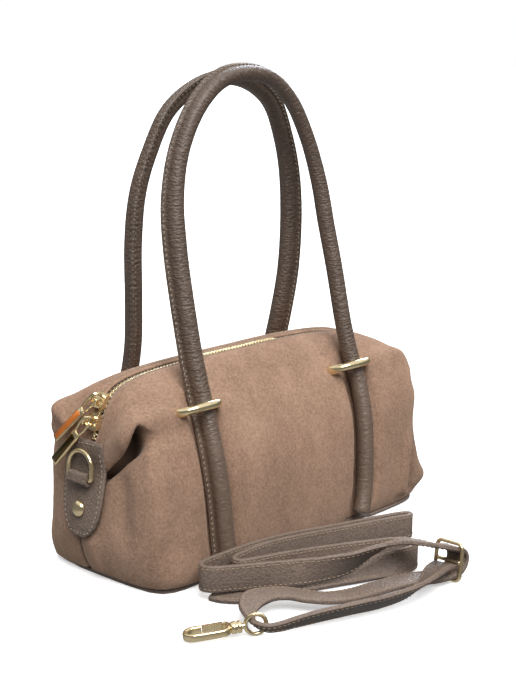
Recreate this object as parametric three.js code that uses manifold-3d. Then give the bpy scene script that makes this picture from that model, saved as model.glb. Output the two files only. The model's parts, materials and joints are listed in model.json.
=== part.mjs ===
// A small barrel-shaped suede handbag with two rolled handles and its detached shoulder strap.
// Millimetres, +Z up. X runs along the zip and -Y is the front.
// The origin is the middle of the base, on the floor.

import * as THREE from 'three';
import Module from 'manifold-3d';

const wasm = await Module();
wasm.setup();

// General sizes
const GAP = 0.3;
const WALL = 2;
const SEAM_GAP = 0.15;
const ZIP_HALF_GAP = 3.8;

// Levels of a panel, from the base seam up to the zip edge. Each level starts on the end seam, is drawn out
// towards a corner and crosses the middle of the panel; pull says how tightly it hugs the corner.
const LEVELS = [
  { endX: 135.0, endZ: 4.0, cornerX: 136, cornerY: 60, cornerZ: 4, midY: 58.5, midZ: 4, pull: 4.5 },
  { endX: 139.5, endZ: 10, cornerX: 138, cornerY: 62, cornerZ: 11, midY: 59.5, midZ: 11, pull: 4.5 },
  { endX: 143.5, endZ: 20, cornerX: 139, cornerY: 62, cornerZ: 21, midY: 59.5, midZ: 21, pull: 5 },
  { endX: 145.5, endZ: 32, cornerX: 139, cornerY: 61, cornerZ: 34, midY: 58.5, midZ: 34, pull: 5 },
  { endX: 143.0, endZ: 48, cornerX: 139, cornerY: 58.5, cornerZ: 54, midY: 56.5, midZ: 52, pull: 6 },
  { endX: 139.5, endZ: 62, cornerX: 139, cornerY: 55, cornerZ: 76, midY: 53, midZ: 70, pull: 7 },
  { endX: 136.5, endZ: 70, cornerX: 137, cornerY: 50, cornerZ: 92, midY: 47, midZ: 86, pull: 7 },
  { endX: 132.5, endZ: 75, cornerX: 138, cornerY: 44.5, cornerZ: 103, midY: 41.5, midZ: 97.5, pull: 8 },
  { endX: 137.0, endZ: 80, cornerX: 143, cornerY: 41, cornerZ: 114.5, midY: 35.5, midZ: 107, pull: 10 },
  { endX: 137.5, endZ: 84, cornerX: 139, cornerY: 33, cornerZ: 120.5, midY: 29, midZ: 116.3, pull: 6 },
  { endX: 137.3, endZ: 87.5, cornerX: 134, cornerY: 22, cornerZ: 128.5, midY: 20.5, midZ: 126.6, pull: 4 },
  { endX: 136.8, endZ: 90.5, cornerX: 129.5, cornerY: 11, cornerZ: 134.2, midY: 10.5, midZ: 133.2, pull: 3 },
  { endX: 136.2, endZ: 93, cornerX: 126, cornerY: 3.8, cornerZ: 134.5, midY: 3.8, midZ: 132.5, pull: 2.6 },
];
const TOP_LEVEL = LEVELS.length - 1;

// Distance of a panel's end from the middle plane: shut along the end seam, open where the zip lies between.
const SEAM_ROWS = [
  { level: 0, seamY: SEAM_GAP },
  { level: 9, seamY: SEAM_GAP },
  { level: 10, seamY: 0.8 },
  { level: 11, seamY: 2 },
  { level: 12, seamY: ZIP_HALF_GAP },
];
const LEVEL_STEPS = 12;

// The two panels differ a little: the front is fuller than the back.
const SIDES = {
  front: { sign: -1, fullness: 1.04 },
  back: { sign: 1, fullness: 0.97 },
};

// Folds at single corners of the soft body: a shift of the corner at a level, spread over the levels near it.
const FOLDS = [
  { side: 'front', end: 1, level: 0, reach: 0.8, outX: 4, outY: 1, outZ: 0 },
  { side: 'front', end: 1, level: 1.9, reach: 1, outX: 17, outY: 1, outZ: -1 },
  { side: 'front', end: 1, level: 5.4, reach: 1.1, outX: 4, outY: 2, outZ: 0 },
  { side: 'front', end: 1, level: 7.2, reach: 0.7, outX: 7, outY: 2, outZ: 0 },
  { side: 'front', end: 1, level: 12, reach: 2.6, outX: 0, outY: 0, outZ: -6 },
  { side: 'front', end: -1, level: 0.4, reach: 1.3, outX: 1, outY: 5, outZ: 0 },
  { side: 'front', end: -1, level: 7, reach: 0.7, outX: -9, outY: -1, outZ: 0 },
  { side: 'back', end: 1, level: 12, reach: 2.6, outX: 0, outY: 0, outZ: -6 },
  { side: 'back', end: -1, level: 0, reach: 1.4, outX: -4, outY: -4, outZ: 0 },
  { side: 'back', end: -1, level: 3.4, reach: 2.6, outX: -4.5, outY: -4.5, outZ: 0 },
  { side: 'back', end: -1, level: 8, reach: 0.9, outX: 0.5, outY: 0.5, outZ: -1 },
];

// Columns of the panel mesh: shares of the length round the end, then distances from the middle.
const END_SHARES = [0, 0.18, 0.36, 0.53, 0.68, 0.81, 0.91];
const PANEL_X = [112, 101, 92, 87, 82, 77, 72, 67, 61, 44, 22, 0];
const BASE_END_SHARES = [0, 0.35, 0.6, 0.75, 0.88];
const BASE_X = [112, 60, 0];

// Base and piping
const BASE_THICKNESS = 2.4;
const BASE_INSET = 3.0;
const PIPING = { radius: 1.7, inset: 1.0, height: 2.0, sides: 6 };

// Zip: tape and teeth lie between the panel edges, a little below and a little above the suede
const TAPE = { halfWidth: 3.5, top: -0.9, bottom: -1.9 };
const TEETH = { halfWidth: 2.4, top: 1.0, bottom: -0.6 };
const ZIP_END_TRIM = 3;

// Zip sliders and pulls at the left end: the slider's height on the zip, and where the pull's tip points.
const SLIDER = { length: 11, width: 9, height: 3.8, corner: 2.2 };
const LUG = { radius: 3.4, wire: 1.1, lift: 3.6, foot: 1, steps: 8, sides: 6, overrun: 0.35, hinge: 0.25 };
const PULL = { length: 41, plateStart: 12, width: 7, thickness: 1.6, corner: 1.2 };
const PULL_LOOP = { width: 8.6, wire: 0.9, sides: 6, overlap: 2, taper: 0.7 };
const PULLS = [
  { name: 'upper', z: 117, tipX: -150, tipY: 28.5, tipZ: 88.5 },
  { name: 'lower', z: 105.5, tipX: -150.2, tipY: 29.6, tipZ: 72.2 },
];

// End tab with its ring, loop and rivet. The tab sits a little behind the end seam.
const TAB = { top: 95, bottom: 31, thickness: 2.2, offsetY: 4, clearance: 1, spread: 4 };
const TAB_OUTLINE = [
  { share: 0, halfWidth: 17.2 },
  { share: 0.12, halfWidth: 18.2 },
  { share: 0.3, halfWidth: 19.4 },
  { share: 0.5, halfWidth: 19.4 },
  { share: 0.65, halfWidth: 18.8 },
  { share: 0.78, halfWidth: 17.4 },
  { share: 0.88, halfWidth: 15 },
  { share: 0.95, halfWidth: 11.8 },
  { share: 1, halfWidth: 7.2 },
];
const TAB_COLUMNS = 8;
const TAB_FACE = { across: 0.35, step: 0.1 };
const D_RING = { z: 69.6, barHalf: 11, height: 18, wire: 1.5, sides: 8, standOff: 3.6, steps: 10 };
const LOOP = { halfWidth: 8.8, height: 8, depth: 5.6, bore: 2.0, corner: 2 };
const RIVET = { z: 50, radius: 5.2, height: 3.6, foot: 0.8, sides: 16, steps: 5 };

// Handles: a round tube with a sewn flange, and rows from the base seam to the top. depth is the distance
// from the middle plane, left and right are the distances of the legs from the middle of the length.
const HANDLE = { radius: 6, sides: 8, steps: 35, ringZ: 111.5, reach: 6.8 };
const FLANGE = { tubeShift: -2, root: 3.4, rootHalf: 2.4, tip: 8, tipHalf: 1.6, turn: 45 };
const HANDLE_ROWS = {
  front: [
    { z: 8, depth: 62, left: 79, right: 62 },
    { z: 15, depth: 61.2, left: 79, right: 65 },
    { z: 26, depth: 59.7, left: 79.2, right: 68.5 },
    { z: 51, depth: 57, left: 79.5, right: 72.5 },
    { z: 75, depth: 52.5, left: 79.6, right: 76 },
    { z: 98, depth: 45.2, left: 78.4, right: 78.5 },
    { z: 111.5, depth: 40.2, left: 77.8, right: 78.2 },
    { z: 121, depth: 36.8, left: 77.6, right: 77.8 },
    { z: 142, depth: 31, left: 77.8, right: 77.2 },
    { z: 181, depth: 22.5, left: 77.7, right: 76.8 },
    { z: 212.5, depth: 15.5, left: 76.1, right: 75.6 },
    { z: 244, depth: 10, left: 72.6, right: 73.2 },
    { z: 275, depth: 7, left: 63.3, right: 63.6 },
    { z: 302, depth: 6.2, left: 46.5, right: 47 },
    { z: 318.5, depth: 6.2, left: 25, right: 25 },
    { z: 323, depth: 6.2, left: 0, right: 0 },
  ],
  back: [
    { z: 8, depth: 61, left: 77, right: 77 },
    { z: 15, depth: 60, left: 77, right: 77 },
    { z: 26, depth: 59, left: 77, right: 77.5 },
    { z: 51, depth: 54.5, left: 77, right: 78 },
    { z: 75, depth: 49, left: 76.5, right: 78 },
    { z: 98, depth: 41.8, left: 74.5, right: 77.2 },
    { z: 111.5, depth: 37, left: 73.4, right: 76.6 },
    { z: 121, depth: 33.8, left: 73, right: 76.4 },
    { z: 142, depth: 28.5, left: 74, right: 76.8 },
    { z: 175, depth: 23.5, left: 77.4, right: 79 },
    { z: 215, depth: 20.5, left: 79.5, right: 78.6 },
    { z: 247, depth: 18.8, left: 76.1, right: 74.4 },
    { z: 273, depth: 17, left: 66.5, right: 65.7 },
    { z: 299, depth: 14.5, left: 51.5, right: 50.5 },
    { z: 314.5, depth: 12.5, left: 27, right: 26 },
    { z: 319.5, depth: 12, left: 0, right: 0 },
  ],
};
const GROOVE = { flat: 7.4, fade: 16, clearance: 0.7, top: 122 };
const RING = { acrossX: 16.5, outward: 10.6, wire: 2.5, sides: 7, steps: 10 };
const RING_SEAT = { lift: 0.6, lookZ: 8, samples: 400 };
const RINGS = [
  { name: 'front_left', side: 'front', half: -1, shift: -4, endGap: -0.6 },
  { name: 'front_right', side: 'front', half: 1, shift: -5, endGap: -0.2 },
  { name: 'back_left', side: 'back', half: -1, shift: 2.5, endGap: -0.4 },
  { name: 'back_right', side: 'back', half: 1, shift: 2.5, endGap: 0.1 },
];

// Shoulder strap: the middle of its width, from the sewn end at the buckle to the far hook. lean is 0 where
// the strap stands on edge and 90 where it lies flat, aim is the direction in plan to which its upper edge
// leans, and width narrows where the strap is gathered through the hook's eye.
const STRAP = { thickness: 3, steps: 132 };
const STRAP_ROUTE = [
  { x: 12.5, y: -172, z: 11.8, lean: 88, aim: 270, width: 16.6 },
  { x: 2, y: -173.5, z: 12.2, lean: 80, aim: 268, width: 17.5 },
  { x: -14, y: -178, z: 10.8, lean: 62, aim: 264, width: 17.5 },
  { x: -32, y: -179.5, z: 9, lean: 48, aim: 260, width: 17.5 },
  { x: -54, y: -175.5, z: 8, lean: 45, aim: 257, width: 17.5 },
  { x: -76, y: -168, z: 7.9, lean: 45, aim: 253, width: 17 },
  { x: -98, y: -160, z: 7.6, lean: 42, aim: 253, width: 15 },
  { x: -115, y: -154.5, z: 7.2, lean: 36, aim: 255, width: 11 },
  { x: -126.5, y: -152, z: 7.2, lean: 30, aim: 245, width: 8 },
  { x: -133.4, y: -148, z: 7.3, lean: 30, aim: 215, width: 6.5 },
  { x: -134.9, y: -140.2, z: 8, lean: 40, aim: 180, width: 6.2 },
  { x: -132.3, y: -132.8, z: 9, lean: 56, aim: 155, width: 7.5 },
  { x: -125, y: -124.5, z: 10.6, lean: 68, aim: 130, width: 12 },
  { x: -113, y: -118.5, z: 11.2, lean: 74, aim: 108, width: 15.5 },
  { x: -100, y: -118.5, z: 10.4, lean: 78, aim: 84, width: 17 },
  { x: -89, y: -125, z: 9, lean: 80, aim: 50, width: 17.5 },
  { x: -82, y: -136, z: 7.6, lean: 80, aim: 34, width: 17.5 },
  { x: -73, y: -146, z: 6.6, lean: 80, aim: 44, width: 17.5 },
  { x: -56, y: -152, z: 5.4, lean: 80, aim: 68, width: 17.5 },
  { x: -34, y: -155.5, z: 4.8, lean: 80, aim: 79, width: 17.5 },
  { x: -12, y: -160, z: 4.6, lean: 84, aim: 82, width: 17.5 },
  { x: 4, y: -169, z: 5, lean: 88, aim: 82, width: 16.6 },
  { x: 16, y: -172, z: 5.2, lean: 90, aim: 90, width: 16.6 },
  { x: 24, y: -172, z: 7.6, lean: 90, aim: 90, width: 16.6 },
  { x: 27.2, y: -172, z: 13.4, lean: 90, aim: 90, width: 16.6 },
  { x: 24.5, y: -172, z: 19.2, lean: 90, aim: 90, width: 16.6 },
  { x: 17.5, y: -172, z: 21, lean: 90, aim: 90, width: 16.6 },
  { x: 8.5, y: -170.6, z: 22, lean: 88, aim: 76, width: 17 },
  { x: -1, y: -161.5, z: 23, lean: 86, aim: 54, width: 17.5 },
  { x: -9, y: -150, z: 23, lean: 78, aim: 50, width: 17.5 },
  { x: -22, y: -141, z: 21, lean: 58, aim: 55, width: 17.5 },
  { x: -38, y: -132.5, z: 17.5, lean: 32, aim: 58, width: 17.5 },
  { x: -54, y: -123.5, z: 15.2, lean: 14, aim: 58, width: 17.5 },
  { x: -70, y: -113.5, z: 14.6, lean: 4, aim: 57, width: 17.5 },
  { x: -88, y: -101, z: 14.6, lean: 0, aim: 55, width: 17.5 },
  { x: -105, y: -90, z: 14.7, lean: 0, aim: 50, width: 17.5 },
  { x: -114.5, y: -83.5, z: 15, lean: 0, aim: 30, width: 17.5 },
  { x: -116.5, y: -77, z: 15.2, lean: 0, aim: 0, width: 17.5 },
  { x: -110, y: -72.6, z: 15.4, lean: 0, aim: -40, width: 17.5 },
  { x: -92, y: -72, z: 15.2, lean: 0, aim: -80, width: 17.5 },
  { x: -58, y: -72, z: 14.2, lean: 0, aim: -90, width: 17.5 },
  { x: -23, y: -74, z: 11.5, lean: 0, aim: -100, width: 17.5 },
  { x: 14, y: -82.2, z: 9.4, lean: 0, aim: -110, width: 17.5 },
  { x: 44, y: -92, z: 9.2, lean: 0, aim: -110, width: 17.5 },
  { x: 62.5, y: -99.2, z: 9.2, lean: 0, aim: -110, width: 17.5 },
  { x: 65.7, y: -103.4, z: 9.2, lean: 0, aim: -110, width: 17.5 },
  { x: 60.5, y: -105.4, z: 9.2, lean: 0, aim: -110, width: 17.5 },
  { x: 42, y: -98, z: 9.2, lean: 0, aim: -110, width: 17.5 },
  { x: 12, y: -88.2, z: 9.4, lean: 0, aim: -110, width: 17.5 },
  { x: -24, y: -80.2, z: 11.5, lean: 0, aim: -100, width: 17.5 },
  { x: -58, y: -78.4, z: 14.2, lean: 0, aim: -90, width: 17.5 },
  { x: -86, y: -80, z: 15, lean: 0, aim: -80, width: 17.5 },
  { x: -94, y: -85, z: 15, lean: 0, aim: -60, width: 17.5 },
  { x: -88, y: -91, z: 14.9, lean: 0, aim: -80, width: 17.5 },
  { x: -62, y: -98.6, z: 14, lean: 0, aim: -100, width: 17.5 },
  { x: -26, y: -107.4, z: 11, lean: 0, aim: -106, width: 17.5 },
  { x: 2, y: -118, z: 9.4, lean: 0, aim: -115, width: 17.5 },
  { x: 17, y: -126.6, z: 9.2, lean: 0, aim: -120, width: 17.5 },
  { x: 23.5, y: -135.5, z: 9.2, lean: 0, aim: -180, width: 17.5 },
  { x: 19, y: -143.5, z: 9.2, lean: 0, aim: -260, width: 17.5 },
  { x: 5, y: -145, z: 9.4, lean: 12, aim: -290, width: 17.5 },
  { x: -10, y: -136, z: 7.2, lean: 52, aim: -298, width: 17.5 },
  { x: -33, y: -123.5, z: 3.2, lean: 82, aim: -298, width: 17.5 },
  { x: -60, y: -111.5, z: 2.5, lean: 86, aim: -300, width: 17.5 },
  { x: -84, y: -100.5, z: 2.5, lean: 86, aim: -304, width: 17.5 },
  { x: -97, y: -92.5, z: 2.5, lean: 86, aim: -314, width: 17.5 },
  { x: -104, y: -85.5, z: 2.4, lean: 88, aim: -326, width: 15 },
  { x: -107.5, y: -80, z: 2.4, lean: 90, aim: -336, width: 12 },
];
const BUCKLE = { width: 22.6, height: 27, wire: 2.4, bar: 2.6, thickness: 2.6, corner: 2.4, slotCorner: 0.8 };
const BUCKLE_PLACE = { x: 16.5, y: -172, z: 13.8, tilt: 8 };

// Snap hook: the eye stands on the floor round the strap, the body slopes down from it to its tip.
const EYE = { x: -134.9, y: -140, z: 8, radius: 6.4, wire: 1.4, sides: 6, steps: 16 };
const HOOK_TURN = 141;
const HOOK_DROP = 6.5;
const HOOK = { length: 35.6, width: 14, wall: 3, shoulder: 4, shoulderShare: 0.6 };
const NECK = { start: 8.6, length: 7, radius: 3.8, bore: 2.1, overlap: 1 };
const POST = { radius: 1.8, sides: 10, short: 2 };
const HOOK_THICKNESS = 5;
const GATE = { start: 19, end: 32, wall: 2.2, thickness: 4, corner: 0.9 };
const FAR_HOOK = { x: -100.5, y: -73.8, z: 0.4, length: 52, width: 13, wall: 3, thickness: 3.6 };
const FAR_HOLES = { split: 0.3, smallCorner: 2.5, largeCorner: 3 };

// Finishes
const suede = new THREE.MeshStandardMaterial({ color: 0xa88975, roughness: 0.95, metalness: 0 });
const leather = new THREE.MeshStandardMaterial({ color: 0x76675c, roughness: 0.6, metalness: 0 });
const gold = new THREE.MeshStandardMaterial({ color: 0xcdaf6e, roughness: 0.25, metalness: 1 });
const tape = new THREE.MeshStandardMaterial({ color: 0x8a7566, roughness: 0.9, metalness: 0 });

// Small mathematics

function smooth(value) {
  const t = Math.min(1, Math.max(0, value));
  return t * t * (3 - 2 * t);
}

// A column of a table read at a fractional row, on a smooth curve through the rows.
function readColumn(rows, column, place) {
  const last = rows.length - 1;
  const at = Math.min(last, Math.max(0, place));
  const i = Math.min(last - 1, Math.floor(at));
  const t = at - i;
  const before = rows[Math.max(0, i - 1)][column];
  const a = rows[i][column];
  const b = rows[i + 1][column];
  const after = rows[Math.min(last, i + 2)][column];
  const slopeA = (b - before) / 2;
  const slopeB = (after - a) / 2;
  const t2 = t * t;
  const t3 = t2 * t;
  return (2 * t3 - 3 * t2 + 1) * a + (t3 - 2 * t2 + t) * slopeA + (3 * t2 - 2 * t3) * b + (t3 - t2) * slopeB;
}

// A column read by the value of another column that rises from row to row, with straight lines between rows.
function lookUp(rows, key, value, column) {
  let i = 0;
  while (i < rows.length - 2 && rows[i + 1][key] < value) i += 1;
  const t = Math.min(1, Math.max(0, (value - rows[i][key]) / (rows[i + 1][key] - rows[i][key])));
  return rows[i][column] + t * (rows[i + 1][column] - rows[i][column]);
}

// Closed meshes

function closedGeometry(points, triangles) {
  let volume = 0;
  for (const [a, b, c] of triangles) {
    volume += points[a].dot(points[b].clone().cross(points[c]));
  }
  const index = triangles.flatMap(([a, b, c]) => (volume > 0 ? [a, b, c] : [a, c, b]));
  const geometry = new THREE.BufferGeometry();
  const numbers = points.flatMap((p) => [p.x, p.y, p.z]);
  geometry.setAttribute('position', new THREE.Float32BufferAttribute(numbers, 3));
  geometry.setIndex(index);
  geometry.computeVertexNormals();
  return geometry;
}

// A wall between two grids of points with the same rows and columns.
function wallGeometry(outer, inner) {
  const rows = outer.length;
  const columns = outer[0].length;
  const points = [...outer.flat(), ...inner.flat()];
  const half = rows * columns;
  const triangles = [];
  const quad = (a, b, c, d) => triangles.push([a, b, c], [a, c, d]);
  const at = (row, column) => row * columns + column;
  for (let r = 0; r < rows - 1; r += 1) {
    for (let c = 0; c < columns - 1; c += 1) {
      quad(at(r, c), at(r, c + 1), at(r + 1, c + 1), at(r + 1, c));
      quad(half + at(r, c), half + at(r + 1, c), half + at(r + 1, c + 1), half + at(r, c + 1));
    }
  }
  for (let c = 0; c < columns - 1; c += 1) {
    quad(at(0, c + 1), at(0, c), half + at(0, c), half + at(0, c + 1));
    quad(at(rows - 1, c), at(rows - 1, c + 1), half + at(rows - 1, c + 1), half + at(rows - 1, c));
  }
  for (let r = 0; r < rows - 1; r += 1) {
    quad(at(r, 0), at(r + 1, 0), half + at(r + 1, 0), half + at(r, 0));
    const last = columns - 1;
    quad(at(r + 1, last), at(r, last), half + at(r, last), half + at(r + 1, last));
  }
  return closedGeometry(points, triangles);
}

// A bar along a path. sectionAt gives the section's corners at each step, acrossAt their first direction.
function barGeometry(path, sectionAt, acrossAt, loop = false) {
  const count = path.length;
  const points = [];
  path.forEach((place, i) => {
    const before = path[loop ? (i + count - 1) % count : Math.max(0, i - 1)];
    const after = path[loop ? (i + 1) % count : Math.min(count - 1, i + 1)];
    const along = after.clone().sub(before).normalize();
    const across = acrossAt(i, along);
    across.addScaledVector(along, -across.dot(along)).normalize();
    const third = along.clone().cross(across);
    for (const [a, b] of sectionAt(i)) {
      points.push(place.clone().addScaledVector(across, a).addScaledVector(third, b));
    }
  });
  const sides = points.length / count;
  const triangles = [];
  for (let i = 0; i < (loop ? count : count - 1); i += 1) {
    const next = (i + 1) % count;
    for (let j = 0; j < sides; j += 1) {
      const k = (j + 1) % sides;
      const here = i * sides;
      const there = next * sides;
      triangles.push([here + j, here + k, there + k], [here + j, there + k, there + j]);
    }
  }
  if (!loop) {
    const end = (count - 1) * sides;
    for (let j = 1; j < sides - 1; j += 1) {
      triangles.push([0, j + 1, j], [end, end + j, end + j + 1]);
    }
  }
  return closedGeometry(points, triangles);
}

function roundSection(a, b, sides) {
  return Array.from({ length: sides }, (_, i) => {
    const angle = ((i + 0.5) / sides) * 2 * Math.PI;
    return [a * Math.cos(angle), b * Math.sin(angle)];
  });
}

function boxSection(halfA, lowB, highB) {
  return [[-halfA, lowB], [halfA, lowB], [halfA, highB], [-halfA, highB]];
}

// Joins closed geometries into one.
function fuse(geometries) {
  const solids = geometries.map((geometry) => {
    const vertices = [];
    const names = new Map();
    const position = geometry.getAttribute('position');
    const corner = (i) => {
      const xyz = [position.getX(i), position.getY(i), position.getZ(i)];
      const name = xyz.map((v) => Math.round(v * 1e4)).join(',');
      if (!names.has(name)) {
        names.set(name, vertices.length / 3);
        vertices.push(...xyz);
      }
      return names.get(name);
    };
    const index = geometry.index ? Array.from(geometry.index.array) : [...Array(position.count).keys()];
    const triVerts = Uint32Array.from(index.map(corner));
    const vertProperties = Float32Array.from(vertices);
    return new wasm.Manifold(new wasm.Mesh({ numProp: 3, vertProperties, triVerts }));
  });
  const joined = solids.reduce((a, b) => a.add(b)).getMesh();
  const geometry = new THREE.BufferGeometry();
  geometry.setAttribute('position', new THREE.Float32BufferAttribute(joined.vertProperties, 3));
  geometry.setIndex(Array.from(joined.triVerts));
  geometry.computeVertexNormals();
  return geometry;
}

// Extrudes a flat shape by a thickness, half to each side of its plane.
function plateGeometry(shape, thickness, curveSegments = 8) {
  const geometry = new THREE.ExtrudeGeometry(shape, { depth: thickness, bevelEnabled: false, curveSegments });
  geometry.translate(0, 0, -thickness / 2);
  return geometry;
}

function roundedRectangle(left, bottom, width, height, radius, path = new THREE.Shape()) {
  const right = left + width;
  const top = bottom + height;
  path.moveTo(left + radius, bottom);
  path.lineTo(right - radius, bottom);
  path.absarc(right - radius, bottom + radius, radius, -Math.PI / 2, 0, false);
  path.lineTo(right, top - radius);
  path.absarc(right - radius, top - radius, radius, 0, Math.PI / 2, false);
  path.lineTo(left + radius, top);
  path.absarc(left + radius, top - radius, radius, Math.PI / 2, Math.PI, false);
  path.lineTo(left, bottom + radius);
  path.absarc(left + radius, bottom + radius, radius, Math.PI, 1.5 * Math.PI, false);
  return path;
}

// Places a mesh with its own X and Y axes along two directions.
function place(mesh, origin, axisX, axisY) {
  const x = axisX.clone().normalize();
  const z = x.clone().cross(axisY).normalize();
  const y = z.clone().cross(x);
  mesh.quaternion.setFromRotationMatrix(new THREE.Matrix4().makeBasis(x, y, z));
  mesh.position.copy(origin);
  return mesh;
}

const bag = new THREE.Group();

function addMesh(name, geometry, material) {
  const mesh = new THREE.Mesh(geometry, material);
  mesh.name = name;
  bag.add(mesh);
  return mesh;
}

// Suede panels

// One level of a panel: the numbers that draw its curve.
function levelAt(level, sideName) {
  const side = SIDES[sideName];
  const row = {};
  for (const column of Object.keys(LEVELS[0])) row[column] = readColumn(LEVELS, column, level);
  const share = level / TOP_LEVEL;
  const swell = 1 + (side.fullness - 1) * 4 * share * (1 - share);
  row.cornerY *= swell;
  row.midY *= swell;
  row.seamY = lookUp(SEAM_ROWS, 'level', level, 'seamY');
  return row;
}

// How far the folds at one end shift a level where they are strongest.
function foldShift(level, sideName, end) {
  const { sign } = SIDES[sideName];
  const shift = new THREE.Vector3();
  for (const fold of FOLDS) {
    if (fold.side === sideName && fold.end === end) {
      const strength = Math.exp(-(((level - fold.level) / fold.reach) ** 2));
      shift.addScaledVector(new THREE.Vector3(end * fold.outX, sign * fold.outY, fold.outZ), strength);
    }
  }
  return shift;
}

// A level's curve at one end, from the end seam round the corner to the middle of the panel.
function levelCurve(level, sideName, end, samples = 240) {
  const { sign } = SIDES[sideName];
  const row = levelAt(level, sideName);
  const shift = foldShift(level, sideName, end);
  const start = new THREE.Vector3(end * row.endX, sign * row.seamY, row.endZ);
  const corner = new THREE.Vector3(end * row.cornerX, sign * row.cornerY, row.cornerZ);
  const middle = new THREE.Vector3(0, sign * row.midY, row.midZ);
  return Array.from({ length: samples + 1 }, (_, i) => {
    const t = i / samples;
    const weights = [(1 - t) ** 2, 2 * row.pull * t * (1 - t), t * t];
    const total = weights[0] + weights[1] + weights[2];
    return new THREE.Vector3()
      .addScaledVector(start, weights[0] / total)
      .addScaledVector(corner, weights[1] / total)
      .addScaledVector(middle, weights[2] / total)
      .addScaledVector(shift, (weights[1] / total) ** 2);
  });
}

function columnsOf(curve, endShares, panelX) {
  const crossing = (x) => {
    let i = curve.length - 1;
    while (i > 1 && Math.abs(curve[i - 1].x) < x) i -= 1;
    const near = Math.abs(curve[i].x);
    const far = Math.abs(curve[i - 1].x);
    const t = far === near ? 0 : (x - near) / (far - near);
    return { index: i - 1, point: curve[i].clone().lerp(curve[i - 1], Math.min(1, Math.max(0, t))) };
  };
  const turn = crossing(panelX[0]).index;
  const lengths = [0];
  for (let i = 1; i <= turn; i += 1) lengths.push(lengths[i - 1] + curve[i].distanceTo(curve[i - 1]));
  const endPoints = endShares.map((share) => {
    const wanted = share * lengths[turn];
    let i = 1;
    while (i < turn && lengths[i] < wanted) i += 1;
    const t = (wanted - lengths[i - 1]) / (lengths[i] - lengths[i - 1]);
    return curve[i - 1].clone().lerp(curve[i], t);
  });
  return [...endPoints, ...panelX.map((x) => crossing(x).point)];
}

function levelPoints(level, sideName, endShares = END_SHARES, panelX = PANEL_X) {
  const left = columnsOf(levelCurve(level, sideName, -1), endShares, panelX);
  const right = columnsOf(levelCurve(level, sideName, 1), endShares, panelX);
  return [...left, ...right.slice(0, -1).reverse()];
}

// The suede is pressed in where a handle's leg lies on it.
function pressGroove(point, sideName) {
  const { sign } = SIDES[sideName];
  const rows = HANDLE_ROWS[sideName];
  const legX = point.x < 0 ? -lookUp(rows, 'z', point.z, 'left') : lookUp(rows, 'z', point.z, 'right');
  const legBack = lookUp(rows, 'z', point.z, 'depth') - HANDLE.reach - GROOVE.clearance;
  const excess = Math.abs(point.y) - legBack;
  if (excess <= 0 || point.z > GROOVE.top) return;
  const distance = Math.abs(point.x - legX);
  const strength = 1 - smooth((distance - GROOVE.flat) / (GROOVE.fade - GROOVE.flat));
  point.y -= sign * excess * strength;
}

function panelGrids(sideName) {
  const { sign } = SIDES[sideName];
  const outer = [];
  for (let i = 0; i <= LEVEL_STEPS; i += 1) {
    const points = levelPoints((i / LEVEL_STEPS) * TOP_LEVEL, sideName);
    points.forEach((point) => pressGroove(point, sideName));
    outer.push(points);
  }
  const last = outer[0].length - 1;
  const inner = outer.map((row, r) => row.map((point, c) => {
    const across = row[Math.min(last, c + 1)].clone().sub(row[Math.max(0, c - 1)]);
    const up = outer[Math.min(LEVEL_STEPS, r + 1)][c].clone().sub(outer[Math.max(0, r - 1)][c]);
    const inward = across.cross(up).normalize().multiplyScalar(sign * WALL);
    const inside = point.clone().add(inward);
    const nearest = lookUp(SEAM_ROWS, 'level', (r / LEVEL_STEPS) * TOP_LEVEL, 'seamY');
    inside.y = sign * Math.max(sign * inside.y, nearest);
    return inside;
  }));
  return { outer, inner };
}

const panels = { front: panelGrids('front'), back: panelGrids('back') };
addMesh('front_panel', wallGeometry(panels.front.outer, panels.front.inner), suede);
addMesh('back_panel', wallGeometry(panels.back.outer, panels.back.inner), suede);

// How far the suede reaches along one axis at a place given by the other two, on the side that sign says.
function suedeReach(axis, sign, first, second) {
  const [p, q] = ['x', 'y', 'z'].filter((name) => name !== axis);
  let reach = -Infinity;
  const test = (a, b, c) => {
    const area = (b[p] - a[p]) * (c[q] - a[q]) - (b[q] - a[q]) * (c[p] - a[p]);
    const u = ((first - a[p]) * (c[q] - a[q]) - (second - a[q]) * (c[p] - a[p])) / area;
    const v = ((b[p] - a[p]) * (second - a[q]) - (b[q] - a[q]) * (first - a[p])) / area;
    if (!(u >= 0 && v >= 0 && u + v <= 1)) return;
    const value = a[axis] + u * (b[axis] - a[axis]) + v * (c[axis] - a[axis]);
    reach = Math.max(reach, sign * value);
  };
  for (const { outer } of Object.values(panels)) {
    for (let r = 0; r < LEVEL_STEPS; r += 1) {
      for (let c = 0; c < outer[0].length - 1; c += 1) {
        test(outer[r][c], outer[r][c + 1], outer[r + 1][c + 1]);
        test(outer[r][c], outer[r + 1][c + 1], outer[r + 1][c]);
      }
    }
  }
  return reach;
}

// Base

// The base seam's outline, moved in by a distance.
function baseOutline(inset) {
  const front = levelPoints(0, 'front', BASE_END_SHARES, BASE_X);
  const back = levelPoints(0, 'back', BASE_END_SHARES, BASE_X).reverse();
  const outline = [...front.slice(0, -1), ...back.slice(0, -1)].map((p) => new THREE.Vector2(p.x, p.y));
  const count = outline.length;
  return outline.map((point, i) => {
    const along = outline[(i + 1) % count].clone().sub(outline[(i + count - 1) % count]).normalize();
    return point.clone().add(new THREE.Vector2(-along.y, along.x).multiplyScalar(inset));
  });
}

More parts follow.
